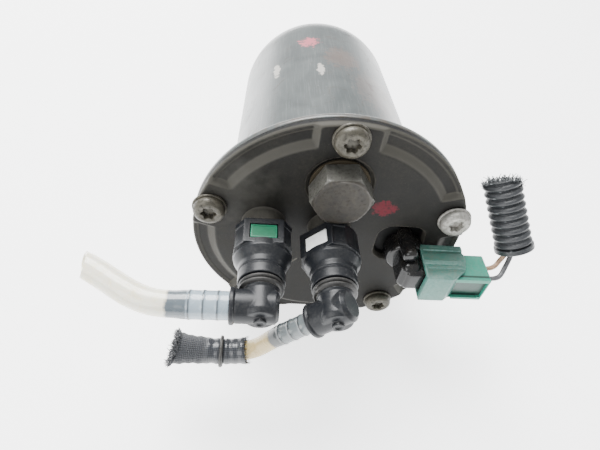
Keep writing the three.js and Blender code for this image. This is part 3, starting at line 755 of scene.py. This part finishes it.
# %% Tubes with their barbed stems
def barbed_stem(name, size, place, body):
    line = route_of([(-9.5, OUTLET_H, 0), (-16, OUTLET_H, 0), (-23, OUTLET_H, 0), (-STEM_END, OUTLET_H, 0)])
    grip = size["bore"] - 0.12
    outline = [(0, grip - 0.5)]
    for barb in BARBS:
        s = barb - 9.5
        outline += [(s - 0.05, grip - 0.45), (s, grip), (s + 0.35, grip), (s + 2.4, grip - 0.5)]
    outline += [(STEM_END - 9.9, grip - 0.15), (STEM_END - 9.5, grip - 0.5), (STEM_END - 9.5, 1.2), (0, 1.2)]
    return dress(bent(name, line, outline, place, 48), NYLON, body=body)


def route_points(line, place, length=None, count=30):
    run = length or line.length
    return [tuple(place @ line.at(run * k / count)[0]) for k in range(count + 1)]


def fuel_line(name, line, size, place, mat, body, slant, hidden=0.0):
    """A tube on its stem; its last stretch may be left out where a sleeve hides it."""
    length = line.length - hidden
    outline = walled(over_barbs(size, TUBE_START), size["bore"], length, 0.4)
    made = dress(bent(name, line, outline, place, 56, slant), mat, name.replace("_nylon", ""), body=body)
    points = route_points(line, place, length)
    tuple(points[0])
    return made


# %% [markdown]
# The sleeve is shiny where its coating is whole and shows its weave where it has been cut and has opened
# out. The fringe is a few hundred bent threads, each a thin prism, started round the cut edge.


# %% Threads of a frayed edge
def fringe(name, roots, mat, body, reach=(1.2, 3.2), thick=0.14, seed=3):
    """roots are (point, outward direction) pairs in metres; every thread leans its own way."""
    dice = random.Random(seed)
    points, faces = [], []
    for root, out in roots:
        long = dice.uniform(*reach) * MM
        lean = Vector((dice.uniform(-1, 1), dice.uniform(-1, 1), dice.uniform(-1, 1))) * 0.55
        heading = (out + lean).normalized()
        curl = Vector((dice.uniform(-1, 1), dice.uniform(-1, 1), dice.uniform(-1, 1))) * 0.5
        side = heading.orthogonal().normalized()
        across = heading.cross(side)
        first = len(points)
        for k in range(4):
            t = k / 3
            centre = root + (heading + curl * t * t) * (long * t)
            width = thick * MM * (1 - 0.55 * t)
            for angle in (0, TAU / 3, 2 * TAU / 3):
                points.append(centre + side * (width * math.cos(angle)) + across * (width * math.sin(angle)))
        for k in range(3):
            for j in range(3):
                a, b = first + 3 * k + j, first + 3 * k + (j + 1) % 3
                faces.append((a, b, b + 3, a + 3))
        faces += [(first + 2, first + 1, first), (first + 9, first + 10, first + 11)]
    return dress(built(name, points, faces, Matrix.Identity(4), merge=False), mat, body=body)


def edge_roots(line, place, radius, s, count, depth, seed, outward=0.6, slant=(0, 0)):
    """Where threads start: up to depth behind an edge at distance s, which may be cut slanting."""
    dice = random.Random(seed)
    roots = []
    for _ in range(count):
        angle = dice.uniform(0, TAU)
        back = slant[0] * (1 - math.cos(angle - slant[1])) / 2
        centre, side, across = line.at(s - back - dice.uniform(0, depth))
        heading = side.cross(across)
        out = side * math.cos(angle) + across * math.sin(angle)
        turn = place.to_3x3().normalized()
        roots.append((place @ (centre + out * radius), (turn @ (out * outward + heading)).normalized()))
    return roots


# %% [markdown]
# ## Sleeve and tie
# The sleeve is drawn as one outline with a waist at the tie and a flare at its cut end, and the threads
# follow it.

# %% Sleeve, tie, and both fuel lines
SLEEVE_R, SLEEVE_BORE, FLARE_R = 4.75, 4.2, 6.0
SLEEVE_SLANT = (2.2, 2.0)
TUBE_STOPS_SHORT = 4.5


def sleeve_outside(s):
    crease = 0.12 * math.sin(s * 1.9) + 0.1 * math.sin(s * 0.8 + 1)
    waist = -0.35 * math.exp(-((s - 8.6) / 1.2) ** 2)
    flare = (FLARE_R - SLEEVE_R) * max(0.0, (s - 13) / (sleeve_line.length - 13)) ** 1.6
    return SLEEVE_R + crease + waist + flare


def sleeve_shape(s):
    """The cut end is flattened a little."""
    squash = max(0.0, (s - 12) / (sleeve_line.length - 12))
    return 1 + 0.03 * squash, 1 - 0.12 * squash


sleeve_outline = walled(sleeve_outside, SLEEVE_BORE, sleeve_line.length, 0.35)
sleeve = bent("woven_sleeve", sleeve_line, sleeve_outline, RIGHT, 72, SLEEVE_SLANT, squeeze=sleeve_shape)
sleeve = dress(sleeve, SLEEVE, "tube_sleeve")
far_roots = edge_roots(sleeve_line, RIGHT, 5.5, sleeve_line.length, 520, 0.9, 7, slant=SLEEVE_SLANT)
far_fray = fringe("sleeve_fray_far", far_roots, SLEEVE, "right_connector", (0.7, 1.9), 0.26, 11)
near_roots = [(p, -d) for p, d in edge_roots(sleeve_line, RIGHT, 4.5, 0.5, 90, 0.5, 9, outward=-0.5)]
near_fray = fringe("sleeve_fray_near", near_roots, SLEEVE, "right_connector", (0.6, 1.7), 0.13, 13)
tie_at = 9.3
tie_outline = [(tie_at + s, SLEEVE_R + 0.2 + r) for s, r in arc(0.75, (0, 0.2), 0, TAU * 17 / 18, 17)]
tie = dress(bent("tie_ring", sleeve_line, tie_outline, RIGHT, 56), RUBBER, "sleeve_tie")

barbed_stem("left_stem", LEFT_SIZE, LEFT, "left_connector")
barbed_stem("right_stem", RIGHT_SIZE, RIGHT, "right_connector")
fuel_line("left_tube", left_line, LEFT_SIZE, LEFT, LEFT_NYLON, "left_connector", (6.0, 0.6))
fuel_line("right_tube", right_line, RIGHT_SIZE, RIGHT, RIGHT_NYLON, "right_connector", (0, 0),
          hidden=TUBE_STOPS_SHORT)

# %% [markdown]
# Two wires leave the heater plug and run up a short piece of split conduit, whose cut end is ragged.

# %% Wires and conduit
CONDUIT_FOOT = (76.6, 6, 4)
CONDUIT_R, CONDUIT_BORE, CONDUIT_CUT = 7.4, 5.6, 33.4
CONDUIT_SLANT = (9.0, -2.7)
rise, lean = math.radians(52), math.radians(-36)
conduit_axis = Vector((math.cos(rise) * math.sin(lean), math.cos(rise) * math.cos(lean), math.sin(rise)))
foot = Vector((CONDUIT_FOOT[0], -CONDUIT_FOOT[1], CONDUIT_FOOT[2]))


def wire_line(h, aside):
    inside = [foot + conduit_axis * s + Vector((aside, 0, 0)) for s in (-0.5, 8, 18, 27)]
    bend = [Vector((68.6 + h * 0.1, -h + 0.8, -4.3)), Vector((73.4 + aside * 0.4, -h * 0.76, -2.2))]
    return Route([Vector((59, -h, -4.6)), Vector((65, -h, -4.6)), *bend, *inside])


conduit_line = Route([foot + conduit_axis * s for s in (0, 11, 22, CONDUIT_CUT)])


def conduit_outside(s):
    if s < 1.8:
        return CONDUIT_R + 0.3
    rib = 0.5 + 0.5 * math.cos(TAU * (s - 3.4) / 3.1)
    return CONDUIT_R - 1.15 + 1.1 * rib ** 0.6


def insulated(s):
    return 1.0 + 0.02 * math.sin(s * 1.3)


conduit_outline = walled(conduit_outside, CONDUIT_BORE, CONDUIT_CUT, 0.2)
conduit = dress(bent("corrugated_conduit", conduit_line, conduit_outline, OWN, 120, CONDUIT_SLANT, torn=2.2),
                CONDUIT_BLACK, "wire_conduit")
cut_roots = edge_roots(conduit_line, OWN, 6.5, CONDUIT_CUT - 0.8, 420, 1.6, 17, outward=0.35,
                       slant=CONDUIT_SLANT)
conduit_fray = fringe("conduit_fray", cut_roots, CONDUIT_BLACK, "wiring_plug", (0.8, 2.4), 0.24, 19)
for name, h, aside, mat in (("copper_wire", 10.4, -3.2, COPPER), ("grey_wire", 15.6, -1.0, GREY)):
    line = wire_line(h, aside)
    wire = dress(bent(name, line, walled(insulated, 0.3, line.length, 0.5), OWN, 20), mat, name)
    points = route_points(line, OWN)
    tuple(points[0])
    print(name, round(line.length, 1), "mm")

# %% [markdown]
# ## Canister
# A steel cup is deep drawn, so its wall leans in a little, its end is a smooth dome and its mouth turns
# out into a flange. One outline, spun finely, gives the long clean highlight that tells the eye it is
# sheet metal.

# %% Canister
RIM_R, RIM_FLAT, PLATE, FLANGE_BACK = 55, 51.6, 2.6, -5.2
BODY_R1, BODY_R2, DOME_START, DOME, WALL = 42.8, 39.4, 107, 38, 1.4


def flatted(radius, h, angle):
    """The rim's flat: nothing reaches below it."""
    down = -math.sin(angle)
    if radius > 48 and down > 0:
        return min(radius, RIM_FLAT / down)
    return radius


def dome(radius, length, steps=28):
    turns = [math.pi / 2 * k / steps for k in range(1, steps + 1)]
    return [(radius * math.cos(t) if t < math.pi / 2 else 0.0, -DOME_START - length * math.sin(t))
            for t in turns]


flange = [(41.4, -2.9), (RIM_R, -2.9), (RIM_R, FLANGE_BACK), (44.4, FLANGE_BACK), (BODY_R1, -7.4)]
mouth = softened(flange, 0.7)[4:]
wall = [(BODY_R1 + (BODY_R2 - BODY_R1) * k / 40, -7.4 - (DOME_START - 7.4) * k / 40) for k in range(1, 41)]
inside = [(0.0, -DOME_START - DOME + WALL), *reversed(dome(BODY_R2 - WALL, DOME - WALL)[:-1]),
          (BODY_R2 - WALL, -DOME_START), (BODY_R1 - WALL, -2.9)]
cup = [*mouth, *wall, *dome(BODY_R2, DOME), *inside]
canister = dress(turned("drawn_canister", cup, turns=180, swell=flatted), PAINT, "canister")
print("canister", len(canister.data.polygons), "faces")

# %% [markdown]
# ## Cover
# The cover is one moulding: a plate with a raised star whose arms carry the screws, a round sink for the
# plug, a pocket for the heater and a boss round each nipple. Its face is a height at every point, drawn
# on a fine polar grid, so the moulded slopes come out soft instead of cut.

# %% Height of the cover's face
PLATEAU_H, PLATEAU_R, ARM_HALF, SCREW_CIRCLE = 2.2, 47.5, 11.5, 50
PLUG_AT = (-0.4, 29.5)
screw_places = [(SCREW_CIRCLE * math.cos(t), SCREW_CIRCLE * math.sin(t))
                for t in (math.pi / 2 + TAU * i / 5 for i in range(5))]


def ramp(value, low, high):
    """Zero at low, one at high, with soft ends; high may be the smaller."""
    t = min(1.0, max(0.0, (value - low) / (high - low)))
    return t * t * (3 - 2 * t)


def cover_height(x, z):
    radius = math.hypot(x, z)
    star = ramp(radius, PLATEAU_R + 2.4, PLATEAU_R - 2.0)
    for sx, sz in screw_places:
        along, across = (x * sx + z * sz) / SCREW_CIRCLE, abs(x * sz - z * sx) / SCREW_CIRCLE
        if along > 30:
            star = max(star, ramp(across, ARM_HALF + 1.6, ARM_HALF - 1.4))
    h = PLATEAU_H * star
    h += 0.55 * ramp(radius, 52.6, 53.6) * (1 - star)
    sink = math.hypot(x - PLUG_AT[0], z - PLUG_AT[1])
    h -= 1.5 * ramp(sink, 12.7, 11.7) * ramp(z, 18, 20) * (h > 0.8)
    pocket = math.hypot(max(0.0, abs(x - 29.5) - 3.6), max(0.0, abs(z + 0.6) - 3.8)) - 5.8
    h += (-1.9 - h) * ramp(pocket, 0.7, -0.5)
    h += 0.05 * noise.noise(Vector((x * 0.12, z * 0.12, 1.7)))
    return h


# %% [markdown]
# ## The cover's mesh
# Rings of points from the middle to the rim are lifted to the height above, and a few more rings close
# the edge and the back. The bosses are turned pieces standing in the face.

# %% Cover
def cover_face():
    rings = [(0.0, 0.0)] + [(r * 0.55, 0.0) for r in range(1, 98)]
    rings += [(54.1, -0.02), (54.5, -0.1), (54.8, -0.28), (54.97, -0.6), (RIM_R, -0.95)]
    turns = 600
    points, faces = [], []
    for radius, drop in rings:
        for j in range(turns):
            angle = TAU * j / turns
            limit = min(1.0, RIM_FLAT / (RIM_R * -math.sin(angle))) if math.sin(angle) < 0 else 1.0
            reach = radius * (1 + (limit - 1) * (radius / RIM_R) ** 6)
            x, z = reach * math.cos(angle), reach * math.sin(angle)
            points.append((x, -(cover_height(x, z) + drop), z))
    for radius in (RIM_R, RIM_R - 0.5, 40.0, 0.0):
        low = -PLATE if radius != RIM_R else -PLATE + 0.4
        for j in range(turns):
            angle = TAU * j / turns
            reach = flatted(radius, 0, angle)
            points.append((reach * math.cos(angle), -low, reach * math.sin(angle)))
    for i in range(len(points) // turns - 1):
        a, b = i * turns, (i + 1) * turns
        faces += [(a + j, a + (j + 1) % turns, b + (j + 1) % turns, b + j) for j in range(turns)]
    return built("cover_face", points, faces, sharp=50)


def boss(name, nipple, size):
    bore = size["nipple"] + 0.5
    outline = softened([(bore, -1), (9.4, -1), (9.0, 1.6), (8.3, 2.9), (8.2, 8.5), (bore, 8.5)], 0.5)
    return turned(name, outline, OWN, (nipple.x, nipple.z), 72)


cover = together("moulded_cover", [cover_face(), boss("left_boss", LEFT_NIPPLE, LEFT_SIZE),
                                   boss("right_boss", RIGHT_NIPPLE, RIGHT_SIZE)])
cover.data.shade_smooth()
cover.data.set_sharp_from_angle(angle=math.radians(50))
dress(cover, COVER, "cover")
print("cover", len(cover.data.polygons), "faces")

# %% [markdown]
# ## Screws, washers, nuts and the hexagon plug
# The screws are six-lobe pan heads with captive washers. The lobes are the same outline with its radius
# made to wave round the recess. The hexagon is a round plug whose radius is held inside six flats.

# %% Fasteners
SEAT_H, HEAD_TOP, HEAD_R, SHANK_R = 3.7, 6.7, 6.0, 2.95


def lobed(radius, h, angle):
    if h > 4 and radius < 3.2:
        return radius * (1 - 0.12 * (1 - math.cos(6 * angle)))
    return radius


head = [(0, 4.6), (2.5, 4.6), (2.95, HEAD_TOP - 0.25), (3.5, HEAD_TOP), (4.6, HEAD_TOP - 0.12),
        (5.6, HEAD_TOP - 0.8), (HEAD_R, HEAD_TOP - 1.7), (HEAD_R, SEAT_H), (SHANK_R, SEAT_H),
        (SHANK_R, -7), (0, -7)]
washer = softened([(3.25, 2.45), (6.35, 2.45), (6.6, 2.7), (6.5, 3.3), (6.2, 3.5), (3.25, 3.5)], 0.15, 2)
nut = softened([(3.35, -5.5), (4.4, -5.5), (4.4, -6.0), (4.1, -6.1), (4.1, -7.0), (3.35, -7.0)], 0.1, 2)


def hexed(radius, h, angle):
    if h > -5.6 or radius < 4:
        return radius
    return min(radius, 3.65 / math.cos((angle % (TAU / 6)) - TAU / 12))


CLEAN_SCREW = 5
for i, place in enumerate(screw_places, 1):
    screw = turned(f"pan_screw_{i}", softened(head, 0.25, 2), at=place, turns=120, swell=lobed)
    plating = BRIGHT if i == CLEAN_SCREW else ZINC
    dress(screw, plating, f"screw_{i}")
    dress(turned(f"captive_washer_{i}", washer, at=place, turns=72), plating, f"screw_washer_{i}")
    dress(turned(f"nut_{i}", nut, at=place, turns=72, swell=hexed), STEEL, f"flange_nut_{i}")

# %% [markdown]
# ## Hexagon plug
# The plug is turned first and then held inside six flats, so its chamfer meets every flat in a curve, as
# it does on a real bar turned down from hexagon steel.

# %% Hexagon plug and its sealing ring
HEX_HALF = 10.0


def hexagon(radius, h, angle):
    if h < 2.65 or radius < 9.8:
        return radius
    off = ((angle - math.radians(5)) % (TAU / 6)) - TAU / 12
    return min(radius, HEX_HALF / math.cos(off))


plug_outline = [(0, 11.75), (8.7, 11.75), (9.2, 11.95), (9.6, 12.0), (9.95, 11.93), (10.4, 11.7),
                (11.0, 11.3), (11.5, 10.85), (11.75, 10.4), (11.75, 9), (11.75, 5), (11.75, 2.9),
                (11.5, 2.7), (7, 2.7), (7, -9), (0, -10.2)]
hexagon_plug = turned("hexagon_plug", plug_outline, at=PLUG_AT, turns=360, swell=hexagon, sharp=28)
dress(hexagon_plug, STAINED, "top_plug")
ring = softened([(7.3, 1.1), (11.2, 1.1), (11.2, 2.4), (7.3, 2.4)], 0.4)
dress(turned("sealing_ring", ring, at=PLUG_AT, turns=72), BRASS, "top_plug_seal")

# %% [markdown]
# ## Quick connectors
# Each connector is a moulded nylon box and collar that snaps over its nipple, a coloured release button,
# a rubber bellows and a moulded elbow. The mouldings are drawn as overlapping solids and melted into one
# skin, which leaves the small fillets that a mould leaves.


# %% Connector mouldings
def foot_arc(radius, steps=24):
    turns = [-math.pi * k / steps for k in range(steps + 1)]
    return [(radius * math.cos(turn), radius * math.sin(turn)) for turn in turns]


def connector_body(name, place):
    outline = [(6.6, 9.6), (10, 5.4), *foot_arc(10.6), (-10, 5.4), (-6.6, 9.6)]
    lip = [(x * 1.02, z * 1.02) for x, z in outline]
    collar = [(0, 18), (10.3, 18), (10.5, 22.0), (9.9, 23.0), (8.9, 24.6), (8.6, 25.2), (8.5, 27.3),
              (8.1, 27.6), (8.1, 28.0), (8.45, 28.3), (8.4, 32.2), (0, 32.2)]
    parts = [prism("box", outline, 9.4, 20.6, place), prism("lip", lip, 19.6, 20.9, place),
             prism("brow", [(7.2, 9.9), (7.2, 6), (-7.2, 6), (-7.2, 9.9)], 9.6, 20.9, place),
             turned("collar", softened(collar, 0.3), place, turns=72)]
    for side in (-1, 1):
        rib = [(side * 6.9, 9.3), (side * 7.5, 9.1), (side * 10.5, 5.4), (side * 9.9, 5.1)]
        parts.append(prism("rib", rib if side > 0 else rib[::-1], 9.6, 12, place))
    made = fused(name, parts, 0.2, 2)
    window = block("window", (-5.1, 12.1, 5.25), (5.1, 19.0, 13), place)
    return combined(made, [window])


def release_button(name, place):
    made = block(name, (-4.75, 12.5, 7.3), (4.75, 18.65, 9.75), place)
    made = eased(made, 0.35)
    panel = block("panel", (-3.9, 13.3, 9.62), (3.9, 17.85, 11), place)
    return combined(made, [panel])


def bellows(name, place):
    count = 40
    run = [32.1 + 3.4 * k / count for k in range(count + 1)]
    outside = [(6.8 + 1.1 * abs(math.cos(math.pi * (h - 33.0) / 1.7)) ** 0.7, h) for h in run]
    return turned(name, [(6.0, run[0]), *outside, (6.0, run[-1])], place, turns=84, sharp=60)


def rod(name, x1, x2, radius, place, h=OUTLET_H, ease=0.5):
    """A round bar along x."""
    line = route_of([(x1, h, 0), (x1 + (x2 - x1) * 0.35, h, 0), (x1 + (x2 - x1) * 0.7, h, 0), (x2, h, 0)])
    end = abs(x2 - x1)
    outline = [(0, 0), (0, radius - ease), (ease, radius), (end - ease, radius), (end, radius - ease),
               (end, 0)]
    made = bent(name, line, outline, place, 72)
    work = bmesh.new()
    work.from_mesh(made.data)
    bmesh.ops.remove_doubles(work, verts=work.verts, dist=2e-6)
    work.to_mesh(made.data)
    work.free()
    return made


def elbow(name, place):
    upright = [(0, 34.8), (6.6, 34.8), (6.7, 35.8), (6.1, 36.3), (6.0, 44.6), (5.0, 46.2), (0, 46.4)]
    moulding_boss = softened([(0, 43), (2.3, 43), (2.1, 47.7), (1.2, 47.7), (1.0, 47.2), (0, 47.2)], 0.15)
    parts = [turned("upright", softened(upright, 0.4), place, turns=72),
             rod("barrel", 6.1, -9.4, 5.75, place, ease=1.2),
             rod("collar", -8.6, -10.3, 6.25, place, ease=0.35),
             turned("boss", moulding_boss, place, turns=48)]
    return fused(name, parts, 0.2, 1)


for side, place, button in (("left", LEFT, GREEN), ("right", RIGHT, WHITE)):
    body = f"{side}_connector"
    shell = dress(connector_body(f"{side}_snap_body", place), NYLON, f"{side}_connector_body")
    dress(release_button(f"{side}_button_cap", place), button, f"{side}_release_button")
    dress(bellows(f"{side}_rubber_bellows", place), RUBBER, f"{side}_bellows")
    arm = dress(elbow(f"{side}_moulded_elbow", place), NYLON, f"{side}_elbow")
    print(side, "body", len(shell.data.polygons), "elbow", len(arm.data.polygons), "faces")

# %% [markdown]
# ## Heater socket and plug
# The heater's socket is black and glossy where it is clean. The green plug over it is two mouldings: a
# faded sleeve with ribs along its top and a slanting end, and a brighter core with a channel down its
# front.

# %% Heater socket
foot_outline = softened([(0, -0.9), (8.3, -0.9), (8.1, 5.0), (7.4, 7.0), (0, 7.4)], 1.0)
lug_outline = softened([(0, -0.9), (3.3, -0.9), (3.1, 12.6), (2.2, 13.6), (0, 13.8)], 0.6)
socket_parts = [eased(block("neck", (30.0, 5.9, -10.9), (45.6, 18.4, -0.1)), 2.2, 6),
                eased(block("bend", (28.2, 2.0, -11.8), (36.8, 17.4, 1.4)), 3.2, 8),
                turned("socket_foot", foot_outline, at=(32.2, -4.2)),
                turned("lug", lug_outline, at=(31.4, 3.4))]
socket = together("socket_moulding", socket_parts)
socket.data.shade_smooth()
socket.data.set_sharp_from_angle(angle=math.radians(40))
dress(socket, GLOSS_BLACK, "heater_socket")


# %% [markdown]
# ## Wiring plug
# Boxes with eased edges are enough here, because the real plug is a boxy moulding. Cutters take out the
# channel, the slits and the slanting end, and each cutter is a plain solid that is removed after its cut.

# %% Plug
def beyond(name, edge):
    """Everything to the right of an edge of (x, h) points that runs from h = 0 to h = 26."""
    ends = [*edge, (90, 26), (90, 0)]
    n = len(ends)
    points = [(x, -h, z) for z in (-40, 20) for x, h in ends]
    faces = [tuple(range(n)), tuple(range(n, 2 * n))]
    faces += [(i, (i + 1) % n, n + (i + 1) % n, n + i) for i in range(n)]
    return built(name, points, faces)


SLEEVE_END = [(54.8, 0), (54.9, 12), (53.4, 17.2), (47.2, 22), (43.4, 26)]


shell = block("plug_sleeve", (37, 4.2, -12.6), (55, 21.8, 1.9))
grooves = [block("groove", (38.3, h, 1.35), (55, h + 1.5, 4)) for h in (6.9, 16.2)]
inside = block("inside", (36, 5.5, -11.3), (55, 19.0, 0.3))
combined(shell, [inside, *grooves, beyond("end", SLEEVE_END)])
rail = block("rail", (37.4, 12.6, 1.6), (52.6, 14.8, 2.35))
combined(rail, [beyond("end", SLEEVE_END)])
shell = together("plug_sleeve", [eased(shell, 0.35), eased(rail, 0.3)])
shell.data.shade_smooth()
shell.data.set_sharp_from_angle(angle=math.radians(40))
dress(shell, SHELL, "plug_shell")

core = combined(block("plug_core", (51.5, 7.2, -13.4), (64.6, 20, -0.2)),
                [block("tongue", (43, 7.2, -12.3), (52.5, 20, -0.2))], "UNION")
channel = block("channel", (45, 18.4, -11.6), (63.6, 21, -2.2))
slit = block("slit", (46, 17.2, -12.0), (62.4, 21, -11.2))
upper_slit = block("slit", (46, 17.4, -3.2), (62.4, 21, -2.4))
corner = prism("corner", [(62.6, 1), (66, 1), (66, -2.4)], 6, 21)
core = combined(core, [channel, slit, upper_slit, corner, beyond("slope", [(67.4, 0), (63.2, 26)])])
core = dress(eased(core, 0.3), BODY, "plug_body")
tab = block("latch_tab", (38.6, 9.6, 0.75), (52, 15.4, 1.8))
tab = combined(tab, [beyond("end", [(54.6, 0), (47.0, 26)])])
dress(eased(tab, 0.2), SHELL, "plug_latch")

# %% [markdown]
# ## What is left as it was modelled
# The parts inside, and the small ones that barely show, keep their CAD meshes and only take a finish.

# %% Finishes for the CAD parts that stay
left_as_modelled = [
    (RUBBER, "cover_seal left_connector_seal right_connector_seal"),
    (RUBBER, "copper_wire_seal grey_wire_seal element_seal"),
    (STEEL, "left_nipple right_nipple element_spring"), (BRASS, "upper_terminal lower_terminal"),
    (PAPER, "filter_element"), (ZINC, "core_tube upper_end_cap lower_end_cap")]
for mat, names in left_as_modelled:
    for name in names.split():
        part = frame["nodes"][name]
        part.data.materials.clear()
        part.data.materials.append(mat)
        print(name, "keeps its mesh and takes", mat.name)

# %% [markdown]
# ## Table and light
# A plain pale table and a big soft lamp behind and above the filter, so the shadow is short and falls
# towards the viewer, with a weaker lamp from the left to open the dark cover. The table also gives off
# light of its own. A real table would not, but with lamps weak enough for the dark plastics this one would
# turn grey.

# %% Table and light
TABLE_GLOW, ROOM_LIGHT = 2.2, 0.9


def table_top():
    mat, shader = finish("table", "cover_moulding", Emission_Color=(1, 1, 1, 1), Emission_Strength=TABLE_GLOW)
    here = node(mat, "TexCoord", out=3)
    faint = clouds(mat, here, 9.0, 4.0)
    drive(mat, shader, Base_Color=blend(mat, faint, (0.86, 0.865, 0.86, 1), (0.9, 0.9, 0.895, 1)),
          Roughness=spread(mat, faint, 0.3, 0.7, 0.5, 0.65))
    size = 3.0
    corners = [(-size, -size, 0), (size, -size, 0), (size, size, 0), (-size, size, 0)]
    top = built("table", corners, [(0, 1, 2, 3)], Matrix.Identity(4))
    top.data.materials.append(mat)
    top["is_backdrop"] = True


def lamp(name, place, target, size, power):
    data = bpy.data.lights.new(name, "AREA")
    data.shape = "DISK"
    data.size = size
    data.energy = power
    made = bpy.data.objects.new(name, data)
    made.location = place
    made.rotation_euler = (Vector(target) - Vector(place)).to_track_quat("-Z", "Y").to_euler()
    bpy.context.scene.collection.objects.link(made)


table_top()
lamp("window", (-0.25, 0.55, 0.95), (0, 0, 0.03), 0.9, 42)
lamp("fill", (-0.7, -0.7, 0.6), (0, -0.05, 0.04), 0.8, 8)
world = bpy.data.worlds.new("room")
bpy.context.scene.world = world
world.use_nodes = True
world.node_tree.nodes["Background"].inputs["Color"].default_value = (0.95, 0.975, 1.0, 1)
world.node_tree.nodes["Background"].inputs["Strength"].default_value = ROOM_LIGHT

visual_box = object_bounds()
sizes = {"cad": [list(corner) for corner in cad_box], "visual": [list(corner) for corner in visual_box]}
for key, corners in sizes.items():
    print(key, [[round(v * 1000, 1) for v in corner] for corner in corners])
